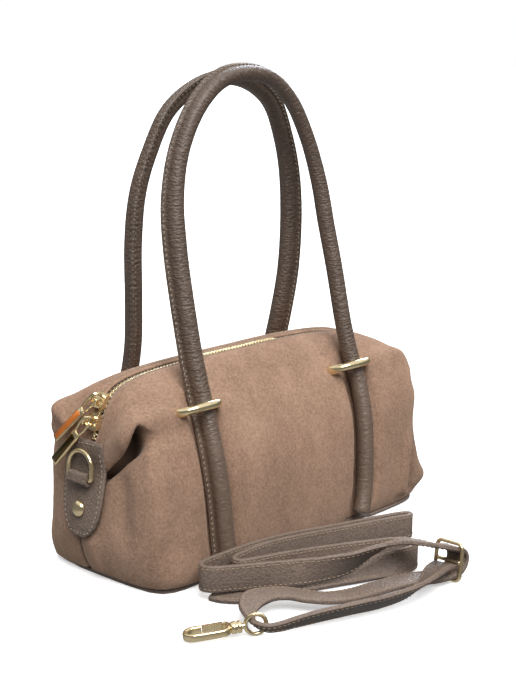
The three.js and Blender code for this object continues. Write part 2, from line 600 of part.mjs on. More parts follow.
function buildBase() {
  const plate = new THREE.ExtrudeGeometry(new THREE.Shape(baseOutline(BASE_INSET)), {
    depth: BASE_THICKNESS,
    bevelEnabled: false,
  });
  addMesh('base_panel', plate, leather);
  const path = baseOutline(PIPING.inset).map((p) => new THREE.Vector3(p.x, p.y, PIPING.height));
  const section = roundSection(PIPING.radius, PIPING.radius, PIPING.sides);
  addMesh('base_piping', barGeometry(path, () => section, () => new THREE.Vector3(0, 0, 1), true), leather);
}

// Zip

const sideways = () => new THREE.Vector3(0, 1, 0);

// The zip's middle line from the left end over the top to the right end.
function zipLine() {
  const line = levelPoints(TOP_LEVEL, 'front').map((p) => new THREE.Vector3(p.x, 0, p.z));
  const trim = (end, next) => end.lerp(next, ZIP_END_TRIM / end.distanceTo(next));
  trim(line[0], line[1]);
  trim(line[line.length - 1], line[line.length - 2]);
  return line;
}

// The place on the zip's left end at a height, with the directions along it and out of the bag.
function zipPlace(z) {
  const line = zipLine();
  let i = 0;
  while (line[i + 1].z < z) i += 1;
  const t = (z - line[i].z) / (line[i + 1].z - line[i].z);
  const along = line[i + 1].clone().sub(line[i]).normalize();
  return { point: line[i].clone().lerp(line[i + 1], t), along, out: along.clone().cross(sideways()) };
}

function buildZip() {
  const line = zipLine();
  const tapeSection = boxSection(TAPE.halfWidth, TAPE.bottom, TAPE.top);
  const teethSection = boxSection(TEETH.halfWidth, TEETH.bottom, TEETH.top);
  addMesh('zip_tape', barGeometry(line, () => tapeSection, sideways), tape);
  addMesh('zip_teeth', barGeometry(line, () => teethSection, sideways), gold);
}

// A zip slider in its own frame: X along the zip, Z out of the bag, with the pull's lug turned by an angle.
function sliderGeometry(lugTurn) {
  const body = plateGeometry(
    roundedRectangle(-SLIDER.length / 2, -SLIDER.width / 2, SLIDER.length, SLIDER.width, SLIDER.corner),
    SLIDER.height,
    3,
  );
  body.translate(0, 0, SLIDER.height / 2);
  const arch = Array.from({ length: LUG.steps + 1 }, (_, i) => {
    const angle = -LUG.overrun + (i / LUG.steps) * (Math.PI + 2 * LUG.overrun);
    return new THREE.Vector3(LUG.radius * Math.cos(angle), 0, LUG.radius * Math.sin(angle));
  });
  arch[0].z = -LUG.lift - LUG.foot;
  arch[LUG.steps].z = -LUG.lift - LUG.foot;
  const wire = roundSection(LUG.wire, LUG.wire, LUG.sides);
  const lug = barGeometry(arch, () => wire, sideways);
  lug.rotateZ(lugTurn);
  lug.translate(0, 0, SLIDER.height + LUG.lift);
  return fuse([body, lug]);
}

// A zip pull in its own frame: X from the hinge bar to its tip, Y along the hinge bar.
function pullGeometry() {
  const half = PULL_LOOP.width / 2 - PULL_LOOP.wire;
  const far = PULL.plateStart + PULL_LOOP.overlap;
  const loop = [
    new THREE.Vector3(0, -half, 0),
    new THREE.Vector3(0, half, 0),
    new THREE.Vector3(far, half * PULL_LOOP.taper, 0),
    new THREE.Vector3(far, -half * PULL_LOOP.taper, 0),
  ];
  const wire = roundSection(PULL_LOOP.wire, PULL_LOOP.wire, PULL_LOOP.sides);
  const ring = barGeometry(loop, () => wire, () => new THREE.Vector3(0, 0, 1), true);
  const plateLength = PULL.length - PULL.plateStart;
  const outline = roundedRectangle(PULL.plateStart, -PULL.width / 2, plateLength, PULL.width, PULL.corner);
  return fuse([ring, plateGeometry(outline, PULL.thickness, 3)]);
}

function buildPulls() {
  for (const pull of PULLS) {
    const { point, along, out } = zipPlace(pull.z);
    const seat = point.clone().addScaledVector(out, TEETH.top + GAP);
    const hingeHeight = SLIDER.height + LUG.lift + LUG.radius * LUG.hinge;
    const hinge = seat.clone().addScaledVector(out, hingeHeight);
    const toTip = new THREE.Vector3(pull.tipX, pull.tipY, pull.tipZ).sub(hinge).normalize();
    const bar = toTip.clone().cross(out).normalize();
    const across = out.clone().cross(along);
    const lugTurn = Math.atan2(bar.dot(across), bar.dot(along)) + Math.PI / 2;
    const slider = addMesh(`zip_slider_${pull.name}`, sliderGeometry(lugTurn), gold);
    place(slider, seat, along, across);
    const plate = addMesh(`zip_pull_${pull.name}`, pullGeometry(), gold);
    place(plate, hinge, toTip, bar);
  }
}

// End tabs

// The tab's inner face at one end: a share from its top to its round bottom, and a share across its width.
function tabPoint(end, share, across) {
  const halfWidth = lookUp(TAB_OUTLINE, 'share', share, 'halfWidth');
  const z = TAB.top + share * (TAB.bottom - TAB.top);
  const y = TAB.offsetY + across * halfWidth;
  const around = [-TAB.spread, 0, TAB.spread];
  const reaches = around.flatMap((a) => around.map((b) => suedeReach('x', end, y + a, z + b)));
  const reach = Math.max(...reaches);
  return new THREE.Vector3(end * (reach + TAB.clearance), y, z);
}

function tabGrid(end) {
  return TAB_OUTLINE.map(({ share }) => Array.from({ length: TAB_COLUMNS + 1 }, (_, c) => (
    tabPoint(end, share, (2 * c) / TAB_COLUMNS - 1)
  )));
}

// The tab's outer face at a height, at the middle of its width, with the directions up along it and outward.
function tabFace(end, z) {
  const share = (z - TAB.top) / (TAB.bottom - TAB.top);
  const places = [-TAB_FACE.across, 0, TAB_FACE.across];
  const reachAt = (s) => Math.max(...places.map((across) => Math.abs(tabPoint(end, s, across).x)));
  const here = reachAt(share);
  const above = reachAt(share - TAB_FACE.step);
  const up = new THREE.Vector3(end * (above - here), 0, TAB_FACE.step * (TAB.top - TAB.bottom)).normalize();
  const out = new THREE.Vector3(end * up.z, 0, -end * up.x);
  return { point: new THREE.Vector3(end * (here + TAB.thickness), TAB.offsetY, z), up, out };
}

function dRingGeometry() {
  const half = D_RING.barHalf;
  const path = [new THREE.Vector3(0, -half, 0), new THREE.Vector3(0, half, 0)];
  const straight = D_RING.height - half;
  for (let i = 0; i <= D_RING.steps; i += 1) {
    const angle = (i / D_RING.steps) * Math.PI;
    path.push(new THREE.Vector3(0, half * Math.cos(angle), straight + half * Math.sin(angle)));
  }
  const section = roundSection(D_RING.wire, D_RING.wire, D_RING.sides);
  return barGeometry(path, () => section, () => new THREE.Vector3(1, 0, 0), true);
}

function loopGeometry() {
  const shape = roundedRectangle(-LOOP.height / 2, -LOOP.depth / 2, LOOP.height, LOOP.depth, LOOP.corner);
  const bore = new THREE.Path();
  bore.absarc(0, 0, LOOP.bore, 0, 2 * Math.PI, true);
  shape.holes.push(bore);
  return plateGeometry(shape, 2 * LOOP.halfWidth, 4);
}

function rivetGeometry() {
  const profile = [new THREE.Vector2(0, 0), new THREE.Vector2(RIVET.radius, 0)];
  const dome = RIVET.height - RIVET.foot;
  for (let i = 0; i < RIVET.steps; i += 1) {
    const angle = (i / RIVET.steps) * (Math.PI / 2);
    profile.push(new THREE.Vector2(RIVET.radius * Math.cos(angle), RIVET.foot + dome * Math.sin(angle)));
  }
  profile.push(new THREE.Vector2(0, RIVET.height));
  return new THREE.LatheGeometry(profile, RIVET.sides);
}

function buildTab(name, end) {
  const inner = tabGrid(end);
  const outer = inner.map((row, r) => row.map((point, c) => {
    const last = row.length - 1;
    const across = row[Math.min(last, c + 1)].clone().sub(row[Math.max(0, c - 1)]);
    const down = inner[Math.min(inner.length - 1, r + 1)][c].clone().sub(inner[Math.max(0, r - 1)][c]);
    const out = across.cross(down).normalize();
    return point.clone().addScaledVector(out, (Math.sign(out.x) === end ? 1 : -1) * TAB.thickness);
  }));
  addMesh(`end_tab_${name}`, wallGeometry(outer, inner), leather);

  const seat = tabFace(end, D_RING.z);
  const barPlace = seat.point.clone().addScaledVector(seat.out, D_RING.standOff);
  const top = tabFace(end, D_RING.z + D_RING.height);
  const rest = top.point.clone().addScaledVector(top.out, D_RING.wire + 2 * GAP);
  const ringUp = rest.sub(barPlace).setY(0);
  const ringY = new THREE.Vector3(0, 1, 0);
  const ringX = ringY.clone().cross(ringUp).normalize();
  const ring = addMesh(`d_ring_${name}`, dRingGeometry(), gold);
  place(ring, barPlace, ringX, ringY);

  const loop = addMesh(`d_ring_loop_${name}`, loopGeometry(), leather);
  place(loop, barPlace, seat.up, seat.out);

  const rivetSeat = tabFace(end, RIVET.z);
  const rivet = addMesh(`rivet_${name}`, rivetGeometry(), gold);
  rivet.position.copy(rivetSeat.point).addScaledVector(rivetSeat.out, GAP);
  rivet.quaternion.setFromUnitVectors(new THREE.Vector3(0, 1, 0), rivetSeat.out);
}

// Handles

function handlePath(sideName) {
  const { sign } = SIDES[sideName];
  const rows = HANDLE_ROWS[sideName];
  const left = rows.map((row) => new THREE.Vector3(-row.left, sign * row.depth, row.z));
  const right = rows.map((row) => new THREE.Vector3(row.right, sign * row.depth, row.z));
  return new THREE.CatmullRomCurve3([...left, ...right.reverse().slice(1)], false, 'centripetal');
}

// The handle's section: the flange points outward from the arch and towards the middle plane.
function handleSection(sideName) {
  const { sign } = SIDES[sideName];
  const turn = THREE.MathUtils.degToRad(FLANGE.turn);
  const tube = roundSection(HANDLE.radius, HANDLE.radius, HANDLE.sides)
    .slice(1, -1)
    .map(([along, across]) => [along + FLANGE.tubeShift, across]);
  const corners = [
    [FLANGE.tip, FLANGE.tipHalf],
    [FLANGE.root, FLANGE.rootHalf],
    ...tube,
    [FLANGE.root, -FLANGE.rootHalf],
    [FLANGE.tip, -FLANGE.tipHalf],
  ];
  return corners.map(([along, across]) => [
    -sign * (along * Math.sin(turn) + across * Math.cos(turn)),
    along * Math.cos(turn) - across * Math.sin(turn),
  ]);
}

function buildHandle(sideName) {
  const path = handlePath(sideName).getSpacedPoints(HANDLE.steps);
  const section = handleSection(sideName);
  addMesh(`handle_${sideName}`, barGeometry(path, () => section, sideways), leather);
}

// The gold ring round a handle's leg: it runs round the leg's front and both its ends go into the suede.
function buildRing({ name, side, half, shift, endGap }) {
  const { sign } = SIDES[side];
  const curve = handlePath(side);
  const points = curve.getSpacedPoints(RING_SEAT.samples).filter((p) => Math.sign(p.x) === half);
  const nearest = (z) => points.reduce((a, b) => (Math.abs(b.z - z) < Math.abs(a.z - z) ? b : a));
  const centre = nearest(HANDLE.ringZ).clone();
  centre.x += shift;
  const up = nearest(HANDLE.ringZ + RING_SEAT.lookZ).clone();
  up.sub(nearest(HANDLE.ringZ - RING_SEAT.lookZ)).normalize();
  const out = new THREE.Vector3(0, sign * up.z, -sign * up.y).normalize();
  const along = new THREE.Vector3(1, 0, 0);
  const path = Array.from({ length: RING.steps + 1 }, (_, i) => {
    const angle = (i / RING.steps - 0.5) * Math.PI;
    return centre.clone()
      .addScaledVector(along, RING.acrossX * Math.sin(angle))
      .addScaledVector(out, RING_SEAT.lift + RING.outward * Math.cos(angle));
  });
  for (const add of ['unshift', 'push']) {
    const tip = path[add === 'unshift' ? 0 : path.length - 1];
    const spread = [-RING.wire, 0, RING.wire];
    const reaches = spread.flatMap((a) => spread.map((b) => suedeReach('y', sign, tip.x + a, tip.z + b)));
    const room = sign * tip.y - Math.max(...reaches) - endGap;
    const end = tip.clone().addScaledVector(out, -room);
    if (room > RING.wire) path[add](end);
    else tip.copy(end);
  }
  const section = roundSection(RING.wire, RING.wire, RING.sides);
  addMesh(`handle_ring_${name}`, barGeometry(path, () => section, () => up.clone()), gold);
}

// Shoulder strap

function strapStep(share) {
  const place = share * (STRAP_ROUTE.length - 1);
  const row = {};
  for (const column of Object.keys(STRAP_ROUTE[0])) row[column] = readColumn(STRAP_ROUTE, column, place);
  return row;
}

function buildStrap() {
  const rows = Array.from({ length: STRAP.steps + 1 }, (_, i) => strapStep(i / STRAP.steps));
  const path = rows.map((row) => new THREE.Vector3(row.x, row.y, row.z));
  const sectionAt = (i) => boxSection(rows[i].width / 2, -STRAP.thickness / 2, STRAP.thickness / 2);
  const acrossAt = (i) => {
    const lean = THREE.MathUtils.degToRad(rows[i].lean);
    const aim = THREE.MathUtils.degToRad(rows[i].aim);
    return new THREE.Vector3(Math.sin(lean) * Math.cos(aim), Math.sin(lean) * Math.sin(aim), Math.cos(lean));
  };
  addMesh('shoulder_strap', barGeometry(path, sectionAt, acrossAt), leather);
}

// The slide buckle stands upright with its bars level; the strap passes over its middle bar.
function buildBuckle() {
  const { width, height, wire, bar } = BUCKLE;
  const shape = roundedRectangle(-width / 2, -height / 2, width, height, BUCKLE.corner);
  const slot = height / 2 - wire - bar / 2;
  for (const bottom of [-height / 2 + wire, bar / 2]) {
    const hole = new THREE.Path();
    roundedRectangle(-width / 2 + wire, bottom, width - 2 * wire, slot, BUCKLE.slotCorner, hole);
    shape.holes.push(hole);
  }
  const buckle = addMesh('strap_buckle', plateGeometry(shape, BUCKLE.thickness, 2), gold);
  const tilt = THREE.MathUtils.degToRad(BUCKLE_PLACE.tilt);
  const up = new THREE.Vector3(Math.sin(tilt), 0, Math.cos(tilt));
  const centre = new THREE.Vector3(BUCKLE_PLACE.x, BUCKLE_PLACE.y, BUCKLE_PLACE.z);
  place(buckle, centre, sideways(), up);
}

// Snap hooks

// The hook's own frame: X from the eye to the tip, Y level across it.
function hookAxes() {
  const turn = THREE.MathUtils.degToRad(HOOK_TURN);
  const drop = THREE.MathUtils.degToRad(HOOK_DROP);
  const level = Math.cos(drop);
  const axisX = new THREE.Vector3(Math.cos(turn) * level, Math.sin(turn) * level, -Math.sin(drop));
  const axisY = axisX.clone().cross(new THREE.Vector3(0, 0, 1)).normalize();
  return { axisX, axisY };
}

// The body's outline: a long oval loop whose one long side is open where the gate closes it.
function hookOutline() {
  const { length, width, wall, shoulder, shoulderShare } = HOOK;
  const half = width / 2;
  const start = NECK.start + NECK.length - NECK.overlap;
  const tip = NECK.start + length - half;
  const inner = half - wall;
  const shape = new THREE.Shape();
  shape.moveTo(start, -half * shoulderShare);
  shape.lineTo(start + shoulder, -half);
  shape.lineTo(tip, -half);
  shape.absarc(tip, 0, half, -Math.PI / 2, Math.PI / 2, false);
  shape.lineTo(GATE.end + GAP, half);
  shape.lineTo(GATE.end + GAP, inner);
  shape.lineTo(tip, inner);
  shape.absarc(tip, 0, inner, Math.PI / 2, -Math.PI / 2, true);
  shape.lineTo(start + shoulder + inner, -inner);
  shape.absarc(start + shoulder + inner, 0, inner, -Math.PI / 2, -Math.PI, true);
  shape.lineTo(start + shoulder, half);
  shape.lineTo(start, half * shoulderShare);
  return shape;
}

function buildHook() {
  const { axisX, axisY } = hookAxes();
  const centre = new THREE.Vector3(EYE.x, EYE.y, EYE.z);
  const circle = Array.from({ length: EYE.steps }, (_, i) => {
    const angle = (i / EYE.steps) * 2 * Math.PI;
    return new THREE.Vector3(EYE.radius * Math.cos(angle), 0, EYE.radius * Math.sin(angle));
  });
  const wire = roundSection(EYE.wire, EYE.wire, EYE.sides);
  const ring = barGeometry(circle, () => wire, sideways, true);
  const postEnds = [EYE.radius, NECK.start + NECK.length - POST.short];
  const postLine = postEnds.map((x) => new THREE.Vector3(x, 0, 0));
  const postSection = roundSection(POST.radius, POST.radius, POST.sides);
  const post = barGeometry(postLine, () => postSection, sideways);
  place(addMesh('hook_eye', fuse([ring, post]), gold), centre, axisX, axisY);

  const neckShape = new THREE.Shape();
  neckShape.absarc(0, 0, NECK.radius, 0, 2 * Math.PI, false);
  const bore = new THREE.Path();
  bore.absarc(0, 0, NECK.bore, 0, 2 * Math.PI, true);
  neckShape.holes.push(bore);
  const neck = plateGeometry(neckShape, NECK.length, 6);
  neck.rotateY(Math.PI / 2);
  neck.translate(NECK.start + NECK.length / 2, 0, 0);
  const frame = plateGeometry(hookOutline(), HOOK_THICKNESS, 6);
  place(addMesh('hook_body', fuse([neck, frame]), gold), centre, axisX, axisY);

  const half = HOOK.width / 2;
  const gateShape = roundedRectangle(
    GATE.start + GAP,
    half - GATE.wall,
    GATE.end - GATE.start - GAP,
    GATE.wall,
    GATE.corner,
  );
  const gate = addMesh('hook_gate', plateGeometry(gateShape, GATE.thickness, 3), gold);
  place(gate, centre, axisX, axisY);
}

function buildFarHook() {
  const { length, width, wall, thickness } = FAR_HOOK;
  const shape = roundedRectangle(0, -width / 2, length, width, width / 2 - 0.1);
  const split = length * FAR_HOLES.split;
  const bottom = -width / 2 + wall;
  const tall = width - 2 * wall;
  const small = new THREE.Path();
  roundedRectangle(wall, bottom, split - wall, tall, FAR_HOLES.smallCorner, small);
  const large = new THREE.Path();
  roundedRectangle(split + wall, bottom, length - split - 2 * wall, tall, FAR_HOLES.largeCorner, large);
  shape.holes.push(small, large);
  const hook = addMesh('hook_far', plateGeometry(shape, thickness, 4), gold);
  hook.position.set(FAR_HOOK.x, FAR_HOOK.y, FAR_HOOK.z + thickness / 2);
}

buildBase();
buildZip();
buildPulls();
buildTab('left', -1);
buildTab('right', 1);
Object.keys(SIDES).forEach(buildHandle);
RINGS.forEach(buildRing);
buildStrap();
buildBuckle();
buildHook();
buildFarHook();

export default bag;
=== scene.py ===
"""A small barrel-shaped suede handbag with rolled leather handles and its detached shoulder strap.

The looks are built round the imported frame, which is in metres with +Z up and -Y towards the front.
The tables below are in millimetres, as in the part's source.
"""

import json
import math

import bmesh
import bpy
import numpy as np
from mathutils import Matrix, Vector
from mathutils.bvhtree import BVHTree

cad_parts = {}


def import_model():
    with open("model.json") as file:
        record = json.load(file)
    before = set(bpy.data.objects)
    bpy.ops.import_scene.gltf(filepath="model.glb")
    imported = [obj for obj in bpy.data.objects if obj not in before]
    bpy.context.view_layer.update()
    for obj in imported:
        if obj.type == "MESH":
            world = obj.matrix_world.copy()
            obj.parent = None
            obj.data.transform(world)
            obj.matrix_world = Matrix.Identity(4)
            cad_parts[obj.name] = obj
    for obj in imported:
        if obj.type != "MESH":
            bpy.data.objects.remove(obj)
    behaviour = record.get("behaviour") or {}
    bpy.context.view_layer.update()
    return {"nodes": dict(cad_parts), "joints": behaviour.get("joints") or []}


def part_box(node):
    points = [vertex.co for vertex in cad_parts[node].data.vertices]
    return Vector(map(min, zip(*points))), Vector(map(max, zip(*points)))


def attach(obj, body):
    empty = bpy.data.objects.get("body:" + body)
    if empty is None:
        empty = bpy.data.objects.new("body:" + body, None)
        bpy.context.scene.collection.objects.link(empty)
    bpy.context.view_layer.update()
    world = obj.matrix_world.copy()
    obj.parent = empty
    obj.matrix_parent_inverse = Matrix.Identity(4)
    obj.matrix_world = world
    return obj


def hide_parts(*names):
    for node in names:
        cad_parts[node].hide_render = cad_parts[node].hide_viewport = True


MM = 0.001
SPLINE_STEPS = 24
WIRE_SIDES = 14
LOOP_STEPS = 120
CORNER_STEPS = 5
# Points further out than this share of a hinged node's length show which way it hangs
FAR_SHARE = 0.93

# Camera, fitted to the photograph
IMAGE_HEIGHT_PX = 688
FOCAL_PX = 1554.9
SENSOR_MM = 36.0
VIEW_AZIMUTH = -47.58
VIEW_ELEVATION = 13.18
VIEW_DISTANCE = 1100.0
VIEW_TARGET = (17.17, -2.88, 131.78)

# Levels of a suede panel, from the base seam up to the zip edge
LEVEL_COLUMNS = ("end_x", "end_z", "corner_x", "corner_y", "corner_z", "mid_y", "mid_z", "pull")
LEVELS = (
    (135.0, 4.0, 136, 60, 4, 58.5, 4, 4.5),
    (139.5, 10, 138, 62, 11, 59.5, 11, 4.5),
    (143.5, 20, 139, 62, 21, 59.5, 21, 5),
    (145.5, 32, 139, 61, 34, 58.5, 34, 5),
    (143.0, 48, 139, 58.5, 54, 56.5, 52, 6),
    (139.5, 62, 139, 55, 76, 53, 70, 7),
    (136.5, 70, 137, 50, 92, 47, 86, 7),
    (132.5, 75, 138, 44.5, 103, 41.5, 97.5, 8),
    (137.0, 80, 143, 41, 114.5, 35.5, 107, 10),
    (137.5, 84, 139, 33, 120.5, 29, 116.3, 6),
    (137.3, 87.5, 134, 22, 128.5, 20.5, 126.6, 4),
    (136.8, 90.5, 129.5, 11, 134.2, 10.5, 133.2, 3),
    (136.2, 93, 126, 2.9, 134.3, 2.9, 132.3, 2.6),
)
TOP_LEVEL = len(LEVELS) - 1
SEAM_LEVELS = (0, 9, 10, 11, 12)
SEAM_HALF_GAPS = (0.15, 0.15, 0.8, 2, 2.9)
# The left end seam drifts to the back towards the base
DRIFT_LEVELS = (0, 3, 6, 8)
SEAM_DRIFT = (9.0, 7.0, 3.0, 0.0)
SIDES = {"front": (-1, 1.04), "back": (1, 0.97)}

# Folds of the soft corners: side, end, level, reach in levels, and the shift of the corner
FOLDS = (
    ("front", 1, 0.3, 0.8, (9, 1, 0)),
    ("front", 1, 1.7, 0.85, (20.2, 1, -2)),
    ("front", 1, 3.0, 0.85, (8, 0, 0)),
    ("front", 1, 4.3, 0.85, (-0.3, 0, 0)),
    ("front", 1, 5.6, 0.85, (7.4, 2, 0)),
    ("front", 1, 6.9, 0.8, (11, 2, 0)),
    ("front", 1, 8.1, 0.8, (-3.5, 0, 0)),
    ("front", 1, 9.3, 0.8, (1.7, 0, 0)),
    ("front", 1, 12, 2.6, (0, 0, -6)),
    ("front", -1, 0.4, 1.3, (1, 5, 0)),
    ("front", -1, 7, 0.7, (-9, -1, 0)),
    ("back", 1, 12, 2.6, (0, 0, -6)),
    ("back", -1, 0, 1.4, (-1, -1, 0)),
    ("back", -1, 6.7, 0.8, (6, 3, 0)),
    ("back", -1, 3.4, 2.6, (-4.5, -4.5, 0)),
    ("back", -1, 8, 0.9, (0.5, 0.5, -1)),
)

# Fine mesh of a panel
PANEL_ROWS = 132
END_COLUMNS = 52
PANEL_COLUMNS = 46
TURN_X = 112.0
CURVE_SAMPLES = 400
SEAM_OPENS = SEAM_LEVELS[2]
SUEDE_THICKNESS = 1.8
# Painted shade on the suede: darker towards the base, more so on the right, and in the seam's tuck
LOW_SHADE = 0.10
LOW_SHADE_TOP = 122.0
SEAM_SHADE = 0.6
SEAM_TUCK = 2.0
SEAM_TUCK_WIDTH = 2.2

# The piping sits under the suede's edge, further in at the left end
PIPING_STEPS = 220
PIPING_SIDES = 12
PIPING_TUCK = (1.0, 3.5)
PIPING_TUCK_X = 85.0
PIPING_TUCK_FADE = 30.0

# Creases and soft swells of the suede. Each follows spots given as (share, level): the share is 0 at the
# end seam, 1 where the end turns into the panel and 2 in the panel's middle. The depth goes inward, with
# one reach below the line and one above it, and a lip swells out above it. The shade is painted shade,
# which darkens the suede's colour along the crease.
CREASED_SIDE = "front"
CREASES = (
    {
        "end": -1,
        "spots": (
            (0.74, 7.95), (0.66, 7.55), (0.56, 7.2), (0.44, 6.85), (0.33, 6.45), (0.22, 6.1), (0.1, 5.6),
        ),
        "depth": 11.5, "below": (6.0, 4.5), "above": 2.2, "fade": (0.16, 0.05),
        "shade": 0.95, "shade_reach": 3.4, "hang": 6.5, "lip": 4.2, "lip_at": 7.0, "lip_reach": 4.4,
    },
    {
        "end": -1,
        "spots": ((0.74, 6.9), (0.78, 5.6), (0.78, 4.2), (0.72, 2.8), (0.66, 1.6)),
        "depth": -2.6, "below": 7, "above": 7, "fade": (0.2, 0.4),
    },
    {
        "end": -1,
        "spots": ((0.42, 5.9), (0.44, 4.6), (0.47, 3.4), (0.5, 2.2)),
        "depth": 2.4, "below": 6, "above": 6, "fade": (0.25, 0.4), "shade": 0.12,
    },
    {
        "end": -1,
        "spots": ((0.13, 3.4), (0.14, 2.4), (0.15, 1.2), (0.15, 0.3)),
        "depth": -2.2, "below": 5, "above": 5, "fade": (0.3, 0.2),
    },
    {
        "end": 1,
        "spots": ((0.80, 4.4), (0.88, 3.5), (0.95, 2.6), (0.98, 1.6), (0.99, 0.6)),
        "depth": -3.0, "below": 1.8, "above": 7, "fade": (0.3, 0.2),
    },
    {
        "end": 1,
        "spots": ((0.74, 4.0), (0.81, 3.2), (0.87, 2.3), (0.90, 1.4), (0.91, 0.6)),
        "depth": 2.4, "below": 7, "above": 2.4, "fade": (0.3, 0.2), "shade": 0.28,
    },
)
CREASE_SAMPLES = 90

# Handles: z, depth from the middle plane, left and right distance of the legs
HANDLE_ROWS = {
    "front": (
        (8, 62, 79, 62),
        (15, 61.2, 79, 65),
        (26, 59.7, 79.2, 68.5),
        (51, 57, 79.5, 72.5),
        (75, 52.5, 79.6, 76),
        (98, 45.2, 78.4, 78.5),
        (111.5, 40.2, 77.8, 78.2),
        (121, 36.8, 77.6, 77.8),
        (142, 31, 77.8, 77.2),
        (181, 22.5, 77.7, 76.8),
        (212.5, 15.5, 76.1, 75.6),
        (244, 10, 72.6, 73.2),
        (275, 7, 63.3, 63.6),
        (302, 6.2, 46.5, 47),
        (318.5, 6.2, 25, 25),
        (323, 6.2, 0, 0),
    ),
    "back": (
        (8, 61, 77, 77),
        (15, 60, 77, 77),
        (26, 59, 77, 77.5),
        (51, 54.5, 77, 78),
        (75, 49, 76.5, 78),
        (98, 41.8, 74.5, 77.2),
        (111.5, 37, 73.4, 76.6),
        (121, 33.8, 73, 76.4),
        (142, 28.5, 74, 76.8),
        (175, 23.5, 77.4, 79),
        (215, 20.5, 79.5, 78.6),
        (247, 18.8, 76.1, 74.4),
        (273, 17, 66.5, 65.7),
        (299, 14.5, 51.5, 50.5),
        (314.5, 12.5, 27, 26),
        (319.5, 12, 0, 0),
    ),
}
HANDLE_RADIUS = 6.0
HANDLE_REACH = 6.8
HANDLE_STEPS = 260
TUBE_SIDES = 26
FLANGE_SHIFT = -2.0
FLANGE_ROOT = 3.4
FLANGE_TIP = 8.0
FLANGE_HALF = 1.5
FLANGE_TURN = 45.0
FLANGE_STITCH = 6.1
FLANGE_STITCH_LIFT = 0.05
FLANGE_EDGE = 0.6
FLANGE_NECK = ((5.2, 0.0), (4.2, 0.25))
ARCH_NARROWING = 0.12
ARCH_START = 215.0
ARCH_FADE = 70.0
GROOVE_FLAT = 7.4
GROOVE_FADE = 16.0
GROOVE_CLEARANCE = 0.7
GROOVE_TOP = 122.0

# Gold rings round the handles' legs
RING_Z = 111.5
RING_ACROSS = 16.5
RING_OUTWARD = 10.6
RING_LIFT = 0.6
RING_WIRE = 2.8
RING_FOOT = 3.9
RING_FOOT_SHARE = 0.12
RING_ENTRY = 2.5
RING_SINK = 0.6
RING_ROOM = 0.2
RING_STEPS = 90
RING_SIDES = 18
BOW_STEPS = 60
LEG_SAMPLES = 800
LEG_RISE = 8.0
RINGS = (
    ("front_left", "front", -1, -4.0),
    ("front_right", "front", 1, -5.0),
    ("back_left", "back", -1, 2.5),
    ("back_right", "back", 1, 2.5),
)

# Zip
TAPE_HALF = 3.5
TAPE_TOP = -0.9
TAPE_BOTTOM = -1.9
TOOTH_PITCH = 1.5
TOOTH_LENGTH = 2.9
TOOTH_WIDTH = 0.85
TOOTH_TOP = 1.8
TOOTH_BOTTOM = -0.5
# A tooth from its root at the tape to its head past the middle: across, half width, low, high
TOOTH_SHAPE = (
    (-0.95, 0.5, 0.1, 0.75),
    (-0.75, 0.62, 0.0, 0.95),
    (0.0, 0.5, 0.0, 1.0),
    (0.12, 0.9, 0.0, 1.0),
    (0.34, 0.85, 0.05, 0.9),
    (0.42, 0.45, 0.15, 0.7),
)
ZIP_END_TRIM = 3.0
ZIP_STEPS = 400
ZIP_STITCH_LEVEL = 11.45
ZIP_STITCH_LIFT = 0.15
SUNK_TEETH = 2.58
TEETH_LOW = 0.7
SUNK_FADE = 10.0
TEETH_SEEN = (-36.0, 32.0)
SLIDER_X = -130.0

# End tabs
TAB_TOP = 95.0
TAB_BOTTOM = 31.0
TAB_OFFSET = 4.0
TAB_THICKNESS = 2.2
TAB_ROWS = 44
TAB_COLUMNS = 30
TAB_STITCH_IN = 2.6
# Rows of the tab's grid crowd towards its tip, and its rim is rounded off
TAB_LAST_SHARE = 0.996
TAB_CROWDING = 1.6
TAB_INSIDE = 0.97
TAB_TOP_DROP = 0.4
TAB_SMOOTHING = 5
TAB_RIM_DROPS = (0.7, 0.12, 0.0)
TAB_RIM_THINNER = 0.3
RAY_START = 400.0
TAB_SHARES = (0, 0.12, 0.3, 0.5, 0.65, 0.78, 0.88, 0.94, 0.98, 1)
TAB_HALF_WIDTHS = (17.2, 18.2, 19.4, 19.4, 18.8, 17.4, 14.6, 11.4, 7.4, 3.2)
RIVET_SIDES = 36
RIVET_PROFILE = (
    (0.96, 0.0), (1.0, 0.5), (0.98, 1.1), (0.90, 1.8), (0.74, 2.6), (0.5, 3.2), (0.25, 3.5), (0.02, 3.6),
)
D_RING_HALF = 11.0
D_RING_HEIGHT = 18.0
D_RING_WIRE = 1.5
ARCH_STEPS = 40
D_RING_SOFTENING = 4

# Zip pulls: start, end, half width, corner, half thickness and bevel of the plates, and the loop's corners
PULL_LENGTH = 41.0
PULL_PLATE = (12.0, PULL_LENGTH, 3.5, 1.3, 0.8, 0.35)
PULL_INSET = (15.2, 39.4, 2.4, 0.7, 0.22, 0.1)
INSET_LIFT = 0.92
PULL_LOOP = ((0, -3.4), (0, 3.4), (6.6, 3.4), (13.5, 2.108), (13.5, -2.108), (6.6, -3.4))
PULL_LOOP_STEPS = 72
PULL_SOFTENING = 3
PULL_WIRE = 0.9
PULL_WIRE_SIDES = 10

